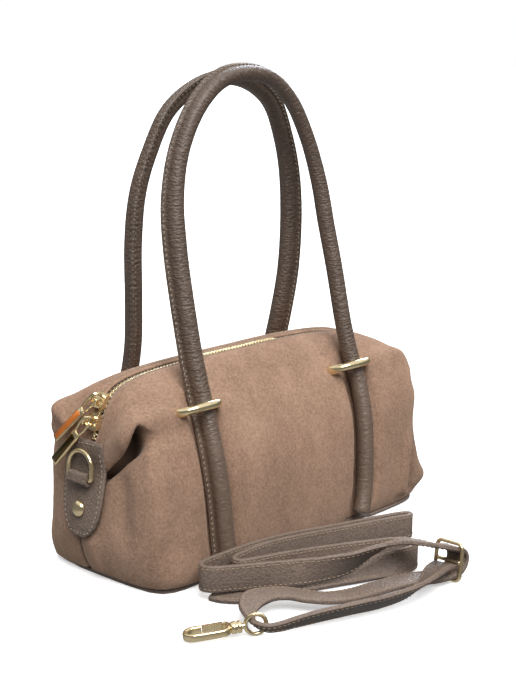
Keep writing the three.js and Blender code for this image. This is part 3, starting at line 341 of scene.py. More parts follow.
# Shoulder strap: place of its middle line, lean from upright, aim of the lean, width
STRAP_THICKNESS = 3.0
STRAP_EDGE = 0.8
STRAP_STITCH_IN = 2.0
STRAP_STEPS = 760
STRAP_ROUTE = (
    (12.5, -172, 11.8, 88, 270, 16.6),
    (2, -173.5, 12.2, 80, 268, 17.5),
    (-14, -178, 10.8, 62, 264, 17.5),
    (-32, -179.5, 9, 48, 260, 17.5),
    (-54, -175.5, 8, 45, 257, 17.5),
    (-76, -168, 7.9, 45, 253, 17),
    (-98, -160, 7.6, 42, 253, 15),
    (-115, -154.5, 7.2, 36, 255, 11),
    (-126.5, -152, 7.2, 30, 245, 8),
    (-133.4, -148, 7.3, 30, 215, 6.5),
    (-134.9, -140.2, 8, 40, 180, 6.2),
    (-132.3, -132.8, 9, 56, 155, 7.5),
    (-125, -124.5, 10.6, 68, 130, 12),
    (-113, -118.5, 11.2, 74, 108, 15.5),
    (-100, -118.5, 10.4, 86, 84, 17),
    (-89, -125, 9.4, 91, 50, 17.5),
    (-82, -136, 8.2, 93, 34, 17.5),
    (-73, -146, 7.4, 93, 44, 17.5),
    (-56, -152, 6.2, 93, 68, 17.5),
    (-34, -155.5, 5.4, 92, 79, 17.5),
    (-12, -160, 5, 90, 82, 17.5),
    (4, -169, 5, 88, 82, 16.6),
    (16, -172, 5.2, 90, 90, 16.6),
    (24, -172, 7.6, 90, 90, 16.6),
    (27.2, -172, 13.4, 90, 90, 16.6),
    (24.5, -172, 19.2, 90, 90, 16.6),
    (17.5, -172, 22, 93, 90, 16.6),
    (8.5, -170.6, 25, 102, 76, 17),
    (-1, -161.5, 28, 104, 54, 17.5),
    (-9, -150, 27.8, 107, 50, 17.5),
    (-22, -141, 23.5, 128, 55, 17.5),
    (-38, -132.5, 17, 158, 58, 17.5),
    (-54, -123.5, 15, 173, 58, 17.5),
    (-70, -113.5, 14.6, 176, 237, 17.5),
    (-88, -101, 14.6, 180, 235, 17.5),
    (-105, -90, 14.7, 180, 230, 17.5),
    (-114.5, -83.5, 15, 180, 210, 17.5),
    (-116.5, -77, 15.2, 180, 180, 17.5),
    (-110, -72.6, 15.4, 180, 140, 17.5),
    (-92, -72, 15.2, 180, 100, 17.5),
    (-58, -72, 14.2, 180, 90, 17.5),
    (-23, -74, 11.5, 180, 80, 17.5),
    (14, -82.2, 9.4, 180, 70, 17.5),
    (44, -92, 9.2, 180, 70, 17.5),
    (62.5, -99.2, 9.2, 180, 70, 17.5),
    (65.7, -103.4, 9.2, 180, 70, 17.5),
    (60.5, -105.4, 9.2, 180, 70, 17.5),
    (42, -98, 9.2, 180, 70, 17.5),
    (12, -88.2, 9.4, 180, 70, 17.5),
    (-24, -80.2, 11.5, 180, 80, 17.5),
    (-58, -78.4, 14.2, 180, 90, 17.5),
    (-86, -80, 15, 180, 100, 17.5),
    (-94, -85, 15, 180, 120, 17.5),
    (-88, -91, 14.9, 180, 100, 17.5),
    (-62, -98.6, 14, 180, 80, 17.5),
    (-26, -107.4, 11, 180, 74, 17.5),
    (2, -118, 9.4, 180, 65, 17.5),
    (17, -126.6, 9.2, 180, 60, 17.5),
    (23.5, -135.5, 9.2, 180, 0, 17.5),
    (19, -143.5, 9.2, 180, -80, 17.5),
    (5, -145, 9.4, 168, -110, 17.5),
    (-10, -136, 7.2, 128, -118, 17.5),
    (-33, -123.5, 3.2, 98, -118, 17.5),
    (-60, -111.5, 2.5, 94, -120, 17.5),
    (-84, -103, 2.7, 96, -124, 17.5),
    (-98, -96, 2.95, 98, -134, 17.5),
    (-105.5, -88, 2.95, 98, -146, 17),
    (-108.5, -79.5, 2.6, 96, -156, 15),
)

# Slide buckle of the strap
BUCKLE_PLACE = (16.5, -172.0, 13.8)
BUCKLE_TILT = 8.0
BUCKLE_HALF = (11.3, 13.5)
BUCKLE_WIRE = 1.3
BUCKLE_CORNER = 4.0
BUCKLE_CORNER_STEPS = 8
BUCKLE_BAR_STEPS = 9

# Snap hook: place of its eye, its direction, and its sizes along the line from the eye to the tip
HOOK_EYE = (-134.9, -140.0, 8.0)
HOOK_TURN = 141.0
HOOK_DROP = 6.5
HOOK_TIP = 44.2
HOOK_HALF = 7.0
HOOK_WALL = 3.0
HOOK_DEPTH = 5.0
HOOK_EDGE = 1.35
HOOK_ROOT = 16.4
HOOK_GATE = (18.6, 32.4)
HOOK_BACK = ((5, -1), (1.6, -0.82), (0, 0), (0.5, 0.75))
HOOK_STEPS = 150
HOOK_BEND_STEPS = 17
NECK_SIDES = 36
NECK_PROFILE = (
    (8.6, 2.1), (8.6, 3.3), (9.0, 3.8), (10.8, 3.8), (11.3, 3.2),
    (11.8, 3.8), (14.6, 3.8), (15.8, 2.9), (15.8, 2.1),
)

# Stitches: length, pitch and thickness of the thread
ZIP_STITCH = (2.2, 3.3, 0.5)
TAB_STITCH = (2.3, 3.4, 0.36)
HANDLE_STITCH = (2.2, 3.7, 0.40)
STRAP_STITCH = (2.2, 3.3, 0.32)
# A stitch along its length: place, girth and rise
STITCH_PROFILE = ((-0.5, 0.25, -0.55), (-0.36, 0.9, 0.1), (0, 1, 0.35), (0.36, 0.9, 0.1), (0.5, 0.25, -0.55))
STITCH_SIDES = 6
HANDLE_STITCH_TILT = 0.35

# Edges of the hard nodes that stay
BEVEL_SEGMENTS = 3
BEVEL_ANGLE = 32.0
WELD_DISTANCE = 1e-5

# Colours, as seen in even light, and the deep colours that painted shade mixes towards
SUEDE_LIGHT = (0.47, 0.302, 0.212)
SUEDE_MID = (0.335, 0.209, 0.144)
SUEDE_DARK = (0.205, 0.123, 0.083)
# Colour that the suede is mixed towards for painted shade
SUEDE_PAINTED_SHADE = (0.040, 0.023, 0.015)
LEATHER_LIGHT = (0.300, 0.233, 0.190)
LEATHER_MID = (0.202, 0.149, 0.117)
LEATHER_DARK = (0.092, 0.064, 0.050)
# Colour that leather is mixed towards for painted shade, and the share of it on faces that look down
LEATHER_PAINTED_SHADE = (0.030, 0.022, 0.019)
DOWN_SHADE = 0.75
HANDLE_LIGHT = (0.172, 0.118, 0.085)
HANDLE_MID = (0.112, 0.074, 0.052)
HANDLE_DARK = (0.060, 0.039, 0.028)
LEG_LIGHTER = 0.42
GOLD = (0.93, 0.76, 0.46)
COPPER = (0.95, 0.28, 0.06)
BRONZE = (0.12, 0.08, 0.03)
THREAD = (0.44, 0.36, 0.27)
STRAP_THREAD = (0.42, 0.31, 0.21)
TAPE_COLOUR = (0.070, 0.046, 0.034)
FLOOR_COLOUR = (0.93, 0.93, 0.93)

# Metals: name, colour, lowest and highest roughness, metallic
METALS = (
    ("gold_metal", GOLD, 0.06, 0.16, 0.9),
    ("warm_gold", COPPER, 0.1, 0.2, 0.5),
    ("dark_gold", BRONZE, 0.08, 0.2, 1.0),
    ("zip_gold", GOLD, 0.2, 0.36, 0.8),
)
SMEAR_NOISE = (260, 4)
SMEAR_STOPS = (0.3, 0.7)
SMEAR_SHADE = 0.86

# Suede: scale, detail and roughness of each noise, then strength and depth of each bump
SUEDE_CLOUD = (34, 5, 0.6)
SUEDE_PATCH = (150, 6, 0.65)
SUEDE_NAP = (520, 8, 0.8)
SUEDE_STREAKS = (1.0, 1.0, 0.35)
CLOUD_SHARE = 0.42
PATCH_SHARE = 0.22
MOTTLE_RANGE = (0.57, 1.07)
PATCH_BUMP = (0.35, 0.0012)
NAP_BUMP = (0.5, 0.0006)
SUEDE_STOPS = ((0.1, SUEDE_DARK), (0.5, SUEDE_MID), (0.9, SUEDE_LIGHT))
SUEDE_SURFACE = {
    "Roughness": 0.95,
    "Specular IOR Level": 0.12,
    "Sheen Weight": 0.24,
    "Sheen Roughness": 0.55,
    "Sheen Tint": (0.88, 0.70, 0.56, 1),
}

# Grained leather: scale and smoothness of its cells, and noises and bumps as above
GRAIN_CELLS = (640, 0.6)
GRAIN_CELL_SHADE = -0.35
GRAIN_CELL_HEIGHT = -0.9
GRAIN_PATCH = (60, 5)
GRAIN_PATCH_RANGE = (0.38, 0.62)
GRAIN_BUMP = (0.6, 0.0009)
GLOSS_NOISE = (400, 3)
GRAIN_ROUGHNESS = (0.42, 0.62)
# Heights of the normal between which the painted shade on down-facing leather fades out
DOWN_RANGE = (-0.6, 0.1)
LEATHER_STOPS = ((0.0, LEATHER_DARK), (0.36, LEATHER_MID), (0.9, LEATHER_LIGHT))
GRAIN_SURFACE = {"Specular IOR Level": 0.46}

# Wrinkled leather of the handles, calmer and lighter below the rings
PEBBLE_STRETCH = (330, 700, 1)
HANDLE_CELLS = (1.0, 0.5)
HANDLE_CELL_HEIGHT = -0.55
WRINKLE_STRETCH = (130, 480, 1)
WRINKLES = (1.0, 5, 0.6)
WRINKLE_SHARE = 0.3
WRINKLE_BUMP = (1.0, 0.0013)
PORE_NOISE = (1500, 3)
PORE_BUMP = (0.2, 0.0003)
HANDLE_PATCH = (70, 4)
HANDLE_PATCH_RANGE = (0.3, 0.7)
HANDLE_RANGE = (0.2, 0.9)
HANDLE_ROUGHNESS = (0.30, 0.52)
LEG_CALM = 0.35
LEG_FADE = (RING_Z - 20, RING_Z + 10)
HANDLE_STOPS = ((0.0, HANDLE_DARK), (0.5, HANDLE_MID), (1.0, HANDLE_LIGHT))
HANDLE_SURFACE = {"Specular IOR Level": 0.6, "Coat Weight": 0.25, "Coat Roughness": 0.36}

# Bands of thread and tape: direction, scale, distortion, dark share, colour stops, bump, roughness
THREAD_BANDS = ("DIAGONAL", 900, 0.0, 0.6, (0.1, 0.7), (0.4, 0.0002), 0.75)
TAPE_BANDS = ("X", 420, 1.5, 0.55, (0.0, 1.0), (0.5, 0.0003), 0.85)

# Studio light
KEY_FROM = (-0.42, -0.70, 1.1)
KEY_STRENGTH = 2.95
KEY_SOFTNESS = 40.0
RIM_FROM = (0.85, 0.45, 0.4)
RIM_STRENGTH = 1.1
RIM_SOFTNESS = 25.0
RIM_COLOUR = (0.80, 0.88, 1.0)
SKY_LEAN = 0.2
SKY_STOPS = ((0.2, 0.45), (0.38, 0.13), (0.66, 0.13), (0.8, 0.9))
FLOOR_GLOW = 0.5
FLOOR_REACH = 40000.0
BACKDROP_REACH = 6000.0
BACKDROP_HEIGHT = 6000.0
BACKDROP_SIDES = 64
FLOOR_ROUGHNESS = 0.9


# Small mathematics


def smooth(value):
    t = np.clip(value, 0, 1)
    return t * t * (3 - 2 * t)


def unit(vectors):
    vectors = np.asarray(vectors, float)
    return vectors / np.maximum(np.linalg.norm(vectors, axis=-1, keepdims=True), 1e-9)


def square_to(vectors, along):
    """Unit vectors turned square to a direction."""
    return unit(vectors - along * np.sum(vectors * along, -1, keepdims=True))


def bell(distance, reach):
    return np.exp(-((distance / reach) ** 2))


def hermite(t, a, b, slope_a, slope_b):
    keep = 2 * t**3 - 3 * t**2 + 1
    return keep * a + (t**3 - 2 * t**2 + t) * slope_a + (1 - keep) * b + (t**3 - t**2) * slope_b


def run_length(points):
    """Distance along a line of points, from 0 at its start."""
    return np.concatenate([[0], np.cumsum(np.linalg.norm(np.diff(points, axis=0), axis=1))])


def read_line(values, run, at):
    """Rows of values that belong to the distances in run, read at other distances."""
    return np.stack([np.interp(at, run, column) for column in values.T], -1)


def read_rows(table, place):
    """Rows of a table at fractional places, on a smooth curve through the rows."""
    table = np.asarray(table, float)
    last = len(table) - 1
    at = np.clip(place, 0, last)
    i = np.minimum(last - 1, np.floor(at).astype(int))
    before, a = table[np.maximum(0, i - 1)], table[i]
    b, after = table[i + 1], table[np.minimum(last, i + 2)]
    return hermite((at - i)[:, None], a, b, (b - before) / 2, (after - a) / 2)


def even_points(points, count, loop=False):
    """Points spaced evenly along a line of points."""
    points = np.asarray(points, float)
    if loop:
        points = np.vstack([points, points[:1]])
    run = run_length(points)
    return read_line(points, run, np.linspace(0, run[-1], count, endpoint=not loop))


def spline(points, count):
    """An evenly spaced smooth line through points that are not evenly spaced."""
    points = np.asarray(points, float)
    padded = np.vstack([2 * points[0] - points[1], points, 2 * points[-1] - points[-2]])
    t = np.linspace(0, 1, SPLINE_STEPS, endpoint=False)[:, None]
    out = []
    for p0, p1, p2, p3 in zip(padded, padded[1:], padded[2:], padded[3:]):
        d0, d1, d2 = (math.sqrt(np.linalg.norm(b - a)) for a, b in ((p0, p1), (p1, p2), (p2, p3)))
        m1 = ((p1 - p0) / d0 - (p2 - p0) / (d0 + d1) + (p2 - p1) / d1) * d1
        m2 = ((p2 - p1) / d1 - (p3 - p1) / (d1 + d2) + (p3 - p2) / d2) * d1
        out.append(hermite(t, p1, p2, m1, m2))
    return even_points(np.vstack([*out, points[-1:]]), count)


def soften(line, times):
    """A closed line with rounder corners."""
    for _ in range(times):
        line = (np.roll(line, 1, 0) + line + np.roll(line, -1, 0)) / 3
    return line


def tangents(path, loop=False):
    if loop:
        return unit(np.roll(path, -1, 0) - np.roll(path, 1, 0))
    return unit(np.gradient(path, axis=0))


def turns(count):
    """Angles of points that stand evenly round a circle."""
    return np.arange(count) / count * 2 * math.pi


# Meshes


def make_mesh(name, points, faces, material, corner_uv=None):
    """A smooth mesh object from points in millimetres."""
    mesh = bpy.data.meshes.new(name)
    mesh.from_pydata([tuple(p) for p in np.asarray(points) * MM], [], faces)
    mesh.materials.append(material)
    mesh.polygons.foreach_set("use_smooth", [True] * len(mesh.polygons))
    if corner_uv is not None:
        layer = mesh.uv_layers.new(name="UVMap")
        layer.data.foreach_set("uv", np.asarray(corner_uv, np.float32).ravel())
    mesh.update()
    obj = bpy.data.objects.new(name, mesh)
    bpy.context.scene.collection.objects.link(obj)
    return obj


def face_outward(obj):
    work = bmesh.new()
    work.from_mesh(obj.data)
    bmesh.ops.recalc_face_normals(work, faces=work.faces)
    work.to_mesh(obj.data)
    work.free()
    return obj


def add_piece(obj, body, slot, *nodes):
    """Lets a piece ride on a body and stand for CAD nodes, which it hides. The slot is not used."""
    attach(obj, body)
    if nodes:
        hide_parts(*nodes)
    return obj


def ring_faces(rings, sides, loop=False, first=0):
    """Faces between rings of points that follow each other, with a cap on each end of an open row."""
    faces = []
    for i in range(rings if loop else rings - 1):
        here, there = first + i * sides, first + (i + 1) % rings * sides
        for j in range(sides):
            k = (j + 1) % sides
            faces.append((here + j, here + k, there + k, there + j))
    if not loop:
        last = first + (rings - 1) * sides
        faces.append(tuple(reversed(range(first, first + sides))))
        faces.append(tuple(range(last, last + sides)))
    return faces


def many_bars(name, places, axes, offsets, material):
    """The same small bar in many places. Offsets along the three axes are given by ring and side."""
    points = places[:, None, None]
    for axis, offset in zip(axes, offsets):
        points = points + axis[:, None, None] * offset[..., None]
    bars, rings, sides = points.shape[:3]
    faces = [face for i in range(bars) for face in ring_faces(rings, sides, first=i * rings * sides)]
    return make_mesh(name, points.reshape(-1, 3), faces, material)


def sweep(name, path, section, across, material, loop=False):
    """A closed bar along a path. The section is one for all steps or one for each step."""
    path = np.asarray(path, float)
    count = len(path)
    section = np.asarray(section, float)
    if section.ndim == 2:
        section = np.broadcast_to(section, (count, *section.shape))
    sides = section.shape[1]
    along = tangents(path, loop)
    across = square_to(np.broadcast_to(np.asarray(across, float), path.shape), along)
    third = np.cross(along, across)
    points = path[:, None] + section[..., :1] * across[:, None] + section[..., 1:] * third[:, None]
    run, around = (run_length(np.vstack([line, line[:1]])) * MM for line in (path, section[0]))
    corner_uv = [
        (around[j + right], run[i + ahead])
        for i in range(count if loop else count - 1)
        for j in range(sides)
        for right, ahead in ((0, 0), (1, 0), (1, 1), (0, 1))
    ]
    if not loop:
        corner_uv += [(0.0, 0.0)] * (2 * sides)
    faces = ring_faces(count, sides, loop)
    return face_outward(make_mesh(name, points.reshape(-1, 3), faces, material, corner_uv))


def spokes(count, first, second):
    """Vectors evenly round a circle, in the plane of two directions."""
    return np.outer(np.cos(turns(count)), first) + np.outer(np.sin(turns(count)), second)


def wire_loop(name, origin, line, axes, wire, sides, material):
    """A closed loop of round wire along a flat line in the plane of two directions."""
    path = origin + line @ np.array(axes)
    return sweep(name, path, round_section(wire, sides), np.cross(*axes), material, loop=True)


def round_section(radius, sides):
    angle = (np.arange(sides) + 0.5) / sides * 2 * math.pi
    return radius * np.stack([np.cos(angle), np.sin(angle)], -1)


def rounded_box(half_a, half_b, radius, steps=4):
    """Outline of a rectangle with round corners."""
    out = []
    for sign_a, sign_b, start in ((1, 1, 0), (-1, 1, 90), (-1, -1, 180), (1, -1, 270)):
        for angle in np.radians(np.linspace(start, start + 90, steps + 1)):
            a = sign_a * (half_a - radius) + radius * math.cos(angle)
            b = sign_b * (half_b - radius) + radius * math.sin(angle)
            out.append((a, b))
    return np.array(out)


def stitch_row(name, path, normal, slot, stitch, material, tilt=0.0):
    """A row of thread stitches along a path, lying on a surface with the given normals."""
    length, pitch, thick = stitch
    run = run_length(path)
    middles = np.arange(pitch, run[-1] - pitch, pitch)
    place, out, along = (read_line(values, run, middles) for values in (path, normal, tangents(path)))
    out = unit(out)
    along = square_to(along, out)
    along = unit(along + tilt * np.cross(out, along))
    share, girth, rise = np.array(STITCH_PROFILE).T[..., None]
    turn = turns(STITCH_SIDES)
    offsets = (
        length * share + 0 * turn,
        thick * girth * np.cos(turn),
        thick * (rise + girth * np.sin(turn)),
    )
    row = many_bars(name, place, (along, np.cross(out, along), out), offsets, material)
    return add_piece(row, "bag", slot)


# Material nodes


def set_inputs(tree, node, values):
    """Sets a node's inputs, each to a number, a colour or another node's output."""
    for name, value in values.items():
        if isinstance(value, bpy.types.NodeSocket):
            tree.links.new(value, node.inputs[name])
        else:
            node.inputs[name].default_value = value


def add_node(tree, kind, values=()):
    node = tree.nodes.new(f"ShaderNode{kind}")
    set_inputs(tree, node, dict(values))
    return node


def new_material(name):
    material = bpy.data.materials.new(name)
    material.use_nodes = True
    tree = material.node_tree
    return material, tree, tree.nodes["Principled BSDF"]


def noise(tree, vector, scale, detail=4.0, roughness=0.55):
    values = {"Vector": vector, "Scale": scale, "Detail": detail, "Roughness": roughness}
    return add_node(tree, "TexNoise", values).outputs["Fac"]


def pebbles(tree, vector, scale, smoothness):
    """Distance from the middles of small round cells."""
    node = add_node(tree, "TexVoronoi")
    node.feature = "SMOOTH_F1"
    set_inputs(tree, node, {"Vector": vector, "Scale": scale, "Smoothness": smoothness})
    return node.outputs["Distance"]


def ramp(tree, value, stops):
    """A colour ramp whose stops are (place, colour)."""
    node = add_node(tree, "ValToRGB", {"Fac": value})
    elements = node.color_ramp.elements
    while len(elements) < len(stops):
        elements.new(0.5)
    for element, (place, colour) in zip(elements, stops):
        element.position = place
        element.color = (*colour, 1)
    return node.outputs["Color"]


def darken(tree, colour, share, deep):
    """Mixes a colour towards a deep one by a share, which paints shade."""
    node = add_node(tree, "Mix", {"Factor": share})
    node.data_type = "RGBA"
    sockets = [socket for socket in node.inputs if socket.type == "RGBA"]
    tree.links.new(colour, sockets[0])
    sockets[1].default_value = (*deep, 1)
    return next(socket for socket in node.outputs if socket.type == "RGBA")


def calculate(tree, operation, *values):
    node = add_node(tree, "Math")
    node.operation = operation
    set_inputs(tree, node, dict(enumerate(values)))
    return node.outputs["Value"]


def add_values(tree, first, second, share):
    """first plus second times a share."""
    return calculate(tree, "MULTIPLY_ADD", second, share, first)


def spread(tree, value, low, high, from_low=0.0, from_high=1.0):
    limits = {"From Min": from_low, "From Max": from_high, "To Min": low, "To Max": high}
    return add_node(tree, "MapRange", {"Value": value, **limits}).outputs["Result"]


def bump(tree, height, strength, distance, before=None):
    values = {"Height": height, "Strength": strength, "Distance": distance}
    if before is not None:
        values["Normal"] = before
    return add_node(tree, "Bump", values).outputs["Normal"]


def place_vector(tree, source="Object", scale=(1, 1, 1)):
    place = add_node(tree, "TexCoord").outputs[source]
    return add_node(tree, "Mapping", {"Vector": place, "Scale": scale}).outputs["Vector"]


def height_of(tree, vector):
    return add_node(tree, "SeparateXYZ", {"Vector": vector}).outputs["Z"]


def two_tone(tree, value, places, colour, dark):
    """A ramp from a darker share of a colour up to the colour."""
    darker = tuple(dark * c for c in colour)
    return ramp(tree, value, ((places[0], darker), (places[1], colour)))


# Materials


def suede_material():
    material, tree, shader = new_material("suede")
    place = place_vector(tree)
    cloud = noise(tree, place_vector(tree, scale=SUEDE_STREAKS), *SUEDE_CLOUD)
    patch = noise(tree, place, *SUEDE_PATCH)
    nap = noise(tree, place, *SUEDE_NAP)
    mottle = add_values(tree, add_values(tree, nap, cloud, CLOUD_SHARE), patch, PATCH_SHARE)
    mottle = spread(tree, mottle, 0.0, 1.0, *MOTTLE_RANGE)
    colour = ramp(tree, mottle, SUEDE_STOPS)
    # Painted shade from the panels' shade attribute: darker low down, on the right, in the seam's tuck and
    # in the creases
    shade = add_node(tree, "Attribute")
    shade.attribute_name = "shade"
    values = {
        "Base Color": darken(tree, colour, shade.outputs["Fac"], SUEDE_PAINTED_SHADE),
        "Normal": bump(tree, patch, *PATCH_BUMP, bump(tree, nap, *NAP_BUMP)),
        **SUEDE_SURFACE,
    }
    set_inputs(tree, shader, values)
    return material


def grained_material():
    """Leather with a fine pebble grain, and painted shade on faces that look down at the floor."""
    material, tree, shader = new_material("grained_leather")
    place = place_vector(tree)
    cells = pebbles(tree, place, *GRAIN_CELLS)
    patch = noise(tree, place, *GRAIN_PATCH)
    mottle = add_values(tree, spread(tree, patch, *GRAIN_PATCH_RANGE), cells, GRAIN_CELL_SHADE)
    colour = ramp(tree, mottle, LEATHER_STOPS)
    # Painted shade: faces whose normal points down are mixed towards a deep colour
    normal = add_node(tree, "NewGeometry").outputs["Normal"]
    down = spread(tree, height_of(tree, normal), DOWN_SHADE, 0.0, *DOWN_RANGE)
    values = {
        "Base Color": darken(tree, colour, down, LEATHER_PAINTED_SHADE),
        "Normal": bump(tree, add_values(tree, patch, cells, GRAIN_CELL_HEIGHT), *GRAIN_BUMP),
        "Roughness": spread(tree, noise(tree, place, *GLOSS_NOISE), *GRAIN_ROUGHNESS),
        **GRAIN_SURFACE,
    }
    set_inputs(tree, shader, values)
    return material


def wrinkled_material():
    """Leather of the rolled handles, with pebbles and fine wrinkles drawn across the roll."""
    material, tree, shader = new_material("wrinkled_leather")
    place = place_vector(tree)
    cells = pebbles(tree, place_vector(tree, "UV", PEBBLE_STRETCH), *HANDLE_CELLS)
    wrinkles = noise(tree, place_vector(tree, "UV", WRINKLE_STRETCH), *WRINKLES)
    height = add_values(tree, wrinkles, cells, HANDLE_CELL_HEIGHT)
    upper = spread(tree, height_of(tree, place), LEG_CALM, 1.0, *(z * MM for z in LEG_FADE))
    normal = bump(tree, calculate(tree, "MULTIPLY", height, upper), *WRINKLE_BUMP)
    patch = spread(tree, noise(tree, place, *HANDLE_PATCH), *HANDLE_PATCH_RANGE)
    mottle = add_values(tree, patch, height, WRINKLE_SHARE)
    mottle = add_values(tree, spread(tree, mottle, 0.0, 1.0, *HANDLE_RANGE), upper, -LEG_LIGHTER)
    mottle = spread(tree, mottle, LEG_LIGHTER, 1.0 + LEG_LIGHTER)
    values = {
        "Base Color": ramp(tree, mottle, HANDLE_STOPS),
        "Normal": bump(tree, noise(tree, place, *PORE_NOISE), *PORE_BUMP, normal),
        "Roughness": spread(tree, wrinkles, *HANDLE_ROUGHNESS),
        **HANDLE_SURFACE,
    }
    set_inputs(tree, shader, values)
    return material


def metal_material(name, colour, rough_low, rough_high, metallic):
    material, tree, shader = new_material(name)
    smear = noise(tree, place_vector(tree), *SMEAR_NOISE)
    values = {
        "Base Color": two_tone(tree, smear, SMEAR_STOPS, colour, SMEAR_SHADE),
        "Roughness": spread(tree, smear, rough_low, rough_high),
        "Metallic": metallic,
    }
    set_inputs(tree, shader, values)
    return material


def woven_material(name, colour, bands):
    """Thread or tape with fine bands."""
    material, tree, shader = new_material(name)
    direction, scale, distortion, dark, stops, depth, roughness = bands
    place = place_vector(tree)
    wave = add_node(tree, "TexWave", {"Vector": place, "Scale": scale, "Distortion": distortion})
    wave.bands_direction = direction
    values = {
        "Base Color": two_tone(tree, wave.outputs["Fac"], stops, colour, dark),
        "Normal": bump(tree, wave.outputs["Fac"], *depth),
        "Roughness": roughness,
    }
    set_inputs(tree, shader, values)
    return material


# Suede panels


def level_curves(levels, side, end):
    """Curves of a panel at some levels, from the end seam round the corner to the middle."""
    sign, fullness = SIDES[side]
    rows = read_rows(LEVELS, levels)
    table = {name: rows[:, k] for k, name in enumerate(LEVEL_COLUMNS)}
    share = levels / TOP_LEVEL
    swell = 1 + (fullness - 1) * 4 * share * (1 - share)
    shift = np.zeros((len(levels), 3))
    for fold_side, fold_end, level, reach, out in FOLDS:
        if fold_side == side and fold_end == end:
            shift += bell(levels - level, reach)[:, None] * np.array([end * out[0], sign * out[1], out[2]])
    seam = sign * np.interp(levels, SEAM_LEVELS, SEAM_HALF_GAPS)
    if end < 0:
        seam = seam + np.interp(levels, DRIFT_LEVELS, SEAM_DRIFT)
    start = np.stack([end * table["end_x"], seam, table["end_z"]], -1)
    corner = np.stack([end * table["corner_x"], sign * table["corner_y"] * swell, table["corner_z"]], -1)
    middle = np.stack([0 * levels, sign * table["mid_y"] * swell, table["mid_z"]], -1)
    t = np.linspace(0, 1, CURVE_SAMPLES + 1)[None, :, None]
    weight = 2 * table["pull"][:, None, None] * t * (1 - t)
    total = (1 - t) ** 2 + weight + t * t
    points = ((1 - t) ** 2 * start[:, None] + weight * corner[:, None] + t * t * middle[:, None]) / total
    return points + (weight / total) ** 2 * shift[:, None]


def curve_columns(curve, end_shares, panel_x):
    """Points of one curve: by shares of the way round the end, then by distance from the middle."""
    away = np.abs(curve[:, 0])
    turn = len(curve) - 1 - np.argmax(away[::-1] >= TURN_X)
    end_part = curve[: turn + 2]
    run = run_length(end_part)
    stop = run[turn] + (run[turn + 1] - run[turn]) * (away[turn] - TURN_X) / (away[turn] - away[turn + 1])
    rest = curve[turn:][::-1]
    round_end = read_line(end_part, run, end_shares * stop)
    return np.vstack([round_end, read_line(rest, np.abs(rest[:, 0]), panel_x)])


def press_groove(points, side):
    """Presses the suede in where the handle's legs lie on it."""
    sign = SIDES[side][0]
    x, y, z = points[..., 0], points[..., 1], points[..., 2]
    height, depth, left, right = np.array(HANDLE_ROWS[side], float).T
    leg = np.where(x < 0, -np.interp(z, height, left), np.interp(z, height, right))
    back = np.interp(z, height, depth) - HANDLE_REACH - GROOVE_CLEARANCE
    excess = np.maximum(np.abs(y) - back, 0) * (z <= GROOVE_TOP)
    strength = 1 - smooth((np.abs(x - leg) - GROOVE_FLAT) / (GROOVE_FADE - GROOVE_FLAT))
    points[..., 1] = y - sign * excess * strength


def grid_normals(grid, sign):
    return unit(np.cross(np.gradient(grid, axis=1), np.gradient(grid, axis=0))) * -sign


def grid_spots(grid, place):
    """Points of a grid at fractional (column, row) places."""
    column, row = (np.clip(place[:, k], 0, grid.shape[1 - k] - 1.001) for k in (0, 1))
    c, r = column.astype(int), row.astype(int)
    u, v = (column - c)[:, None], (row - r)[:, None]
    low = grid[r, c] * (1 - u) + grid[r, c + 1] * u
    high = grid[r + 1, c] * (1 - u) + grid[r + 1, c + 1] * u
    return low * (1 - v) + high * v


def crease_shift(grid, crease):
    """For one crease: how far each point moves outward, how far it hangs down and how much painted shade it
    gets.
    """
    share, level = np.array(crease["spots"], float).T
    column = np.where(share <= 1, share * END_COLUMNS, END_COLUMNS + (share - 1) * (PANEL_COLUMNS - 1))
    if crease["end"] > 0:
        column = grid.shape[1] - 1 - column
    place = spline(np.stack([column, level / TOP_LEVEL * PANEL_ROWS], -1), CREASE_SAMPLES)
    flat = grid.reshape(-1, 3)
    away = np.linalg.norm(flat[:, None] - grid_spots(grid, place)[None], axis=-1)
    nearest = np.argmin(away, axis=1)
    distance = away[np.arange(len(flat)), nearest]
    along = nearest / (CREASE_SAMPLES - 1)
    above = np.repeat(np.arange(grid.shape[0]), grid.shape[1]) > place[nearest, 1]
    fade_in, fade_out = crease["fade"]
    strength = smooth(along / fade_in) * smooth((1 - along) / fade_out)
    below = np.interp(along, (0, 1), np.broadcast_to(crease["below"], 2))
    reach = np.where(above, crease["above"], below)
    shift = -crease["depth"] * strength * bell(distance, reach)
    drop = np.zeros_like(shift)
    if "lip" in crease:
        lip = strength * above * bell(distance - crease["lip_at"], crease["lip_reach"])
        shift += crease["lip"] * lip
        drop += crease["hang"] * lip
    dark = crease.get("shade", 0.0) * strength
    shade = dark * bell(distance, crease.get("shade_reach", reach))
    return [values.reshape(grid.shape[:2]) for values in (shift, drop, shade)]


